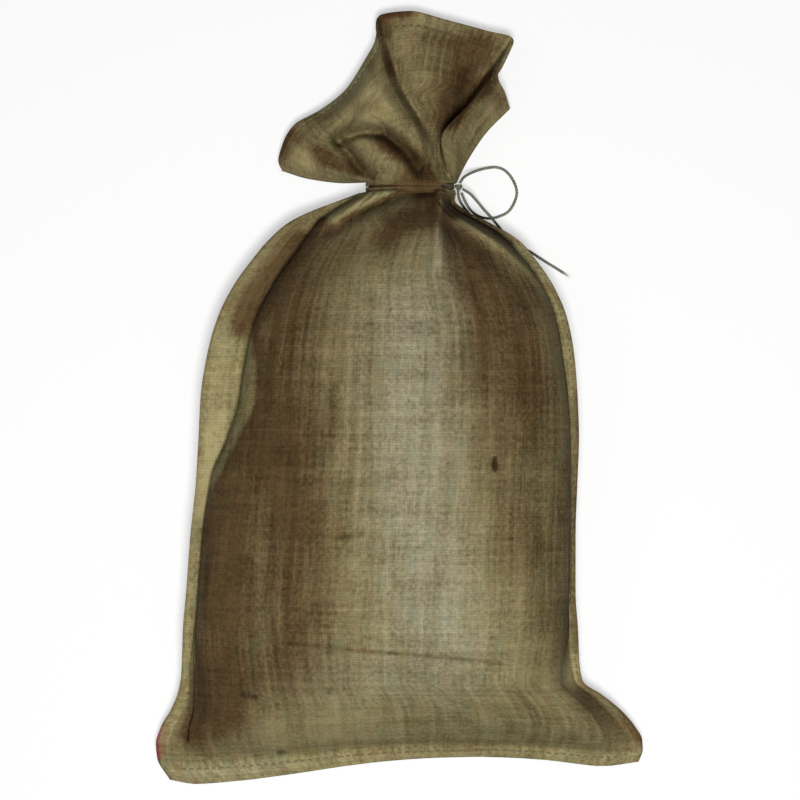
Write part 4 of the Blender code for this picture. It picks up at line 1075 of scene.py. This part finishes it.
def makeSewing(body, front, rows):
    thread = juteTwine("hem_thread", stitch["dark"], stitch["light"])
    seamThread = juteTwine("seam_thread", stitch["seamDark"], stitch["seamLight"])
    # hem of the mouth, along the front
    hem = rowAt(front, float(np.interp(sack["hemStart"], rows, np.arange(len(rows)))))
    stitchRow("mouth_hem_stitches", *hem, thread, stitch["hemEnds"])
    # bottom seam, a finger's width above the edge
    middle = body[:, topCount // 2]
    height = np.linalg.norm(middle - middle[0], axis=1)[: stitch["bottomRows"]]
    bottom = rowAt(body, float(np.interp(stitch["bottomUp"], height, np.arange(len(height)))))
    stitchRow("bottom_seam_stitches", *bottom, seamThread, stitch["bottomEnds"])
    # side seam down the right band, between its columns
    row = np.arange(*stitch["sideRows"])
    width = np.linalg.norm(body[row, -1 - sack["bandSteps"]] - body[row, -1], axis=1)
    share = np.clip(stitch["sideIn"] / np.maximum(width, 1e-6), stitch["leastIn"], stitch["mostIn"])
    column, t = np.divmod(share * sack["bandSteps"], 1)
    column = -1 - column.astype(int)
    line = body[row, column] * (1 - t[:, None]) + body[row, column - 1] * t[:, None]
    stitchRow("side_seam_stitches", line, outward(body)[row, column], seamThread)
    print("sewing made")


fuzz = dict(
    onFace=2600, onEdge=900, reach=(0.0020, 0.0062), thick=0.00009, curl=0.45, spread=0.75, upright=0.35,
    leastLift=0.12, dark=(0.16, 0.13, 0.07), light=(0.36, 0.31, 0.19),
    seeds=(31, 32), edgeColumns=6, edgeRows=4,    # how many next to an edge have more
)


def makeFuzz(obj, rim):
    # Short loose fibres standing off the cloth, more of them at the edges.
    spreadSeed, curlSeed = fuzz["seeds"]
    draw = np.random.default_rng(spreadSeed)
    mesh = obj.data
    points, normals = np.empty((2, len(mesh.vertices), 3), np.float32)
    mesh.vertices.foreach_get("co", points.ravel())
    mesh.vertex_normals.foreach_get("vector", normals.ravel())
    row, column = np.divmod(np.arange(len(points)), topCount + underCount)
    face = (row < rim) & (column < topCount)
    atSide = np.minimum(column, topCount - 1 - column) < fuzz["edgeColumns"]
    edge = face & (atSide | (np.minimum(row, rim - 1 - row) < fuzz["edgeRows"]))
    picks = np.concatenate([draw.choice(np.flatnonzero(where), count, replace=False)
                            for where, count in ((face, fuzz["onFace"]), (edge, fuzz["onEdge"]))])
    normals = normals[picks]
    ways = normals * fuzz["upright"] + draw.normal(0, fuzz["spread"], (len(picks), 3))
    lift = (ways * normals).sum(axis=1, keepdims=True)
    ways = unit(ways + normals * np.maximum(fuzz["leastLift"] - lift, 0))
    lengths = draw.uniform(*fuzz["reach"], len(picks))
    material = juteTwine("loose_fibre", fuzz["dark"], fuzz["light"])
    starts = points[picks].astype(float)
    piece = hairs("loose_fibres", starts, ways, lengths, fuzz["thick"], fuzz["curl"], material, curlSeed)
    dressed(piece)
    print("fibres", len(picks))


# Camera, lights and floor

view = dict(lens=150.0, sensor=36.0, near=0.05, far=30.0, place=(0.0005, -0.0015, 3.312))
lamps = (
    ("overhead", (0.10, -0.55, 2.95), 0.80, 88.0),
    ("fill", (-1.5, 0.5, 2.2), 1.2, 3.0),
)
studio = dict(world=0.07, floorReach=4.0, floorBase=(0.42, 0.42, 0.416, 1), floorRough=0.8, floorGlow=0.54)


def makeStudio():
    scene = bpy.context.scene

    def stand(name, data, place):
        holder = bpy.data.objects.new(name, data)
        holder.location = place
        scene.collection.objects.link(holder)
        return holder

    camera = bpy.data.cameras.new("camera")
    camera.lens, camera.sensor_width = view["lens"], view["sensor"]
    camera.clip_start, camera.clip_end = view["near"], view["far"]
    scene.camera = stand("camera", camera, view["place"])

    for name, place, size, power in lamps:
        lamp = bpy.data.lights.new(name, "AREA")
        lamp.shape, lamp.size, lamp.energy = "DISK", size, power
        aim = -Vector(place)
        stand(name, lamp, place).rotation_euler = aim.to_track_quat("-Z", "Y").to_euler()

    world = bpy.data.worlds.new("studio")
    world.use_nodes = True
    world.node_tree.nodes["Background"].inputs["Color"].default_value = (1, 1, 1, 1)
    world.node_tree.nodes["Background"].inputs["Strength"].default_value = studio["world"]
    scene.world = world
    scene.view_settings.view_transform = "Standard"
    scene.view_settings.look = "None"

    ground = Graph("pale_floor", studio["floorRough"])
    ground.give("Base Color", studio["floorBase"])
    ground.give("Emission Color", (1, 1, 1, 1))
    ground.give("Emission Strength", studio["floorGlow"])
    mesh = bpy.data.meshes.new("floor")
    reach = studio["floorReach"]
    corners = [(x * reach, y * reach, 0) for x, y in ((-1, -1), (1, -1), (1, 1), (-1, 1))]
    mesh.from_pydata(corners, [], [(0, 1, 2, 3)])
    mesh.materials.append(ground.material)
    floor = stand("floor", mesh, (0, 0, 0))
    floor.visible_diffuse = False  # the floor doesn't light the sack from below


makeStudio()
makeTwine()
sackPiece, bodyGrid, frontGrid, mouthPlaces, rimRow = makeSack(juteCloth("jute_weave"))
makeSewing(bodyGrid, frontGrid, mouthPlaces)
makeFuzz(sackPiece, rimRow)
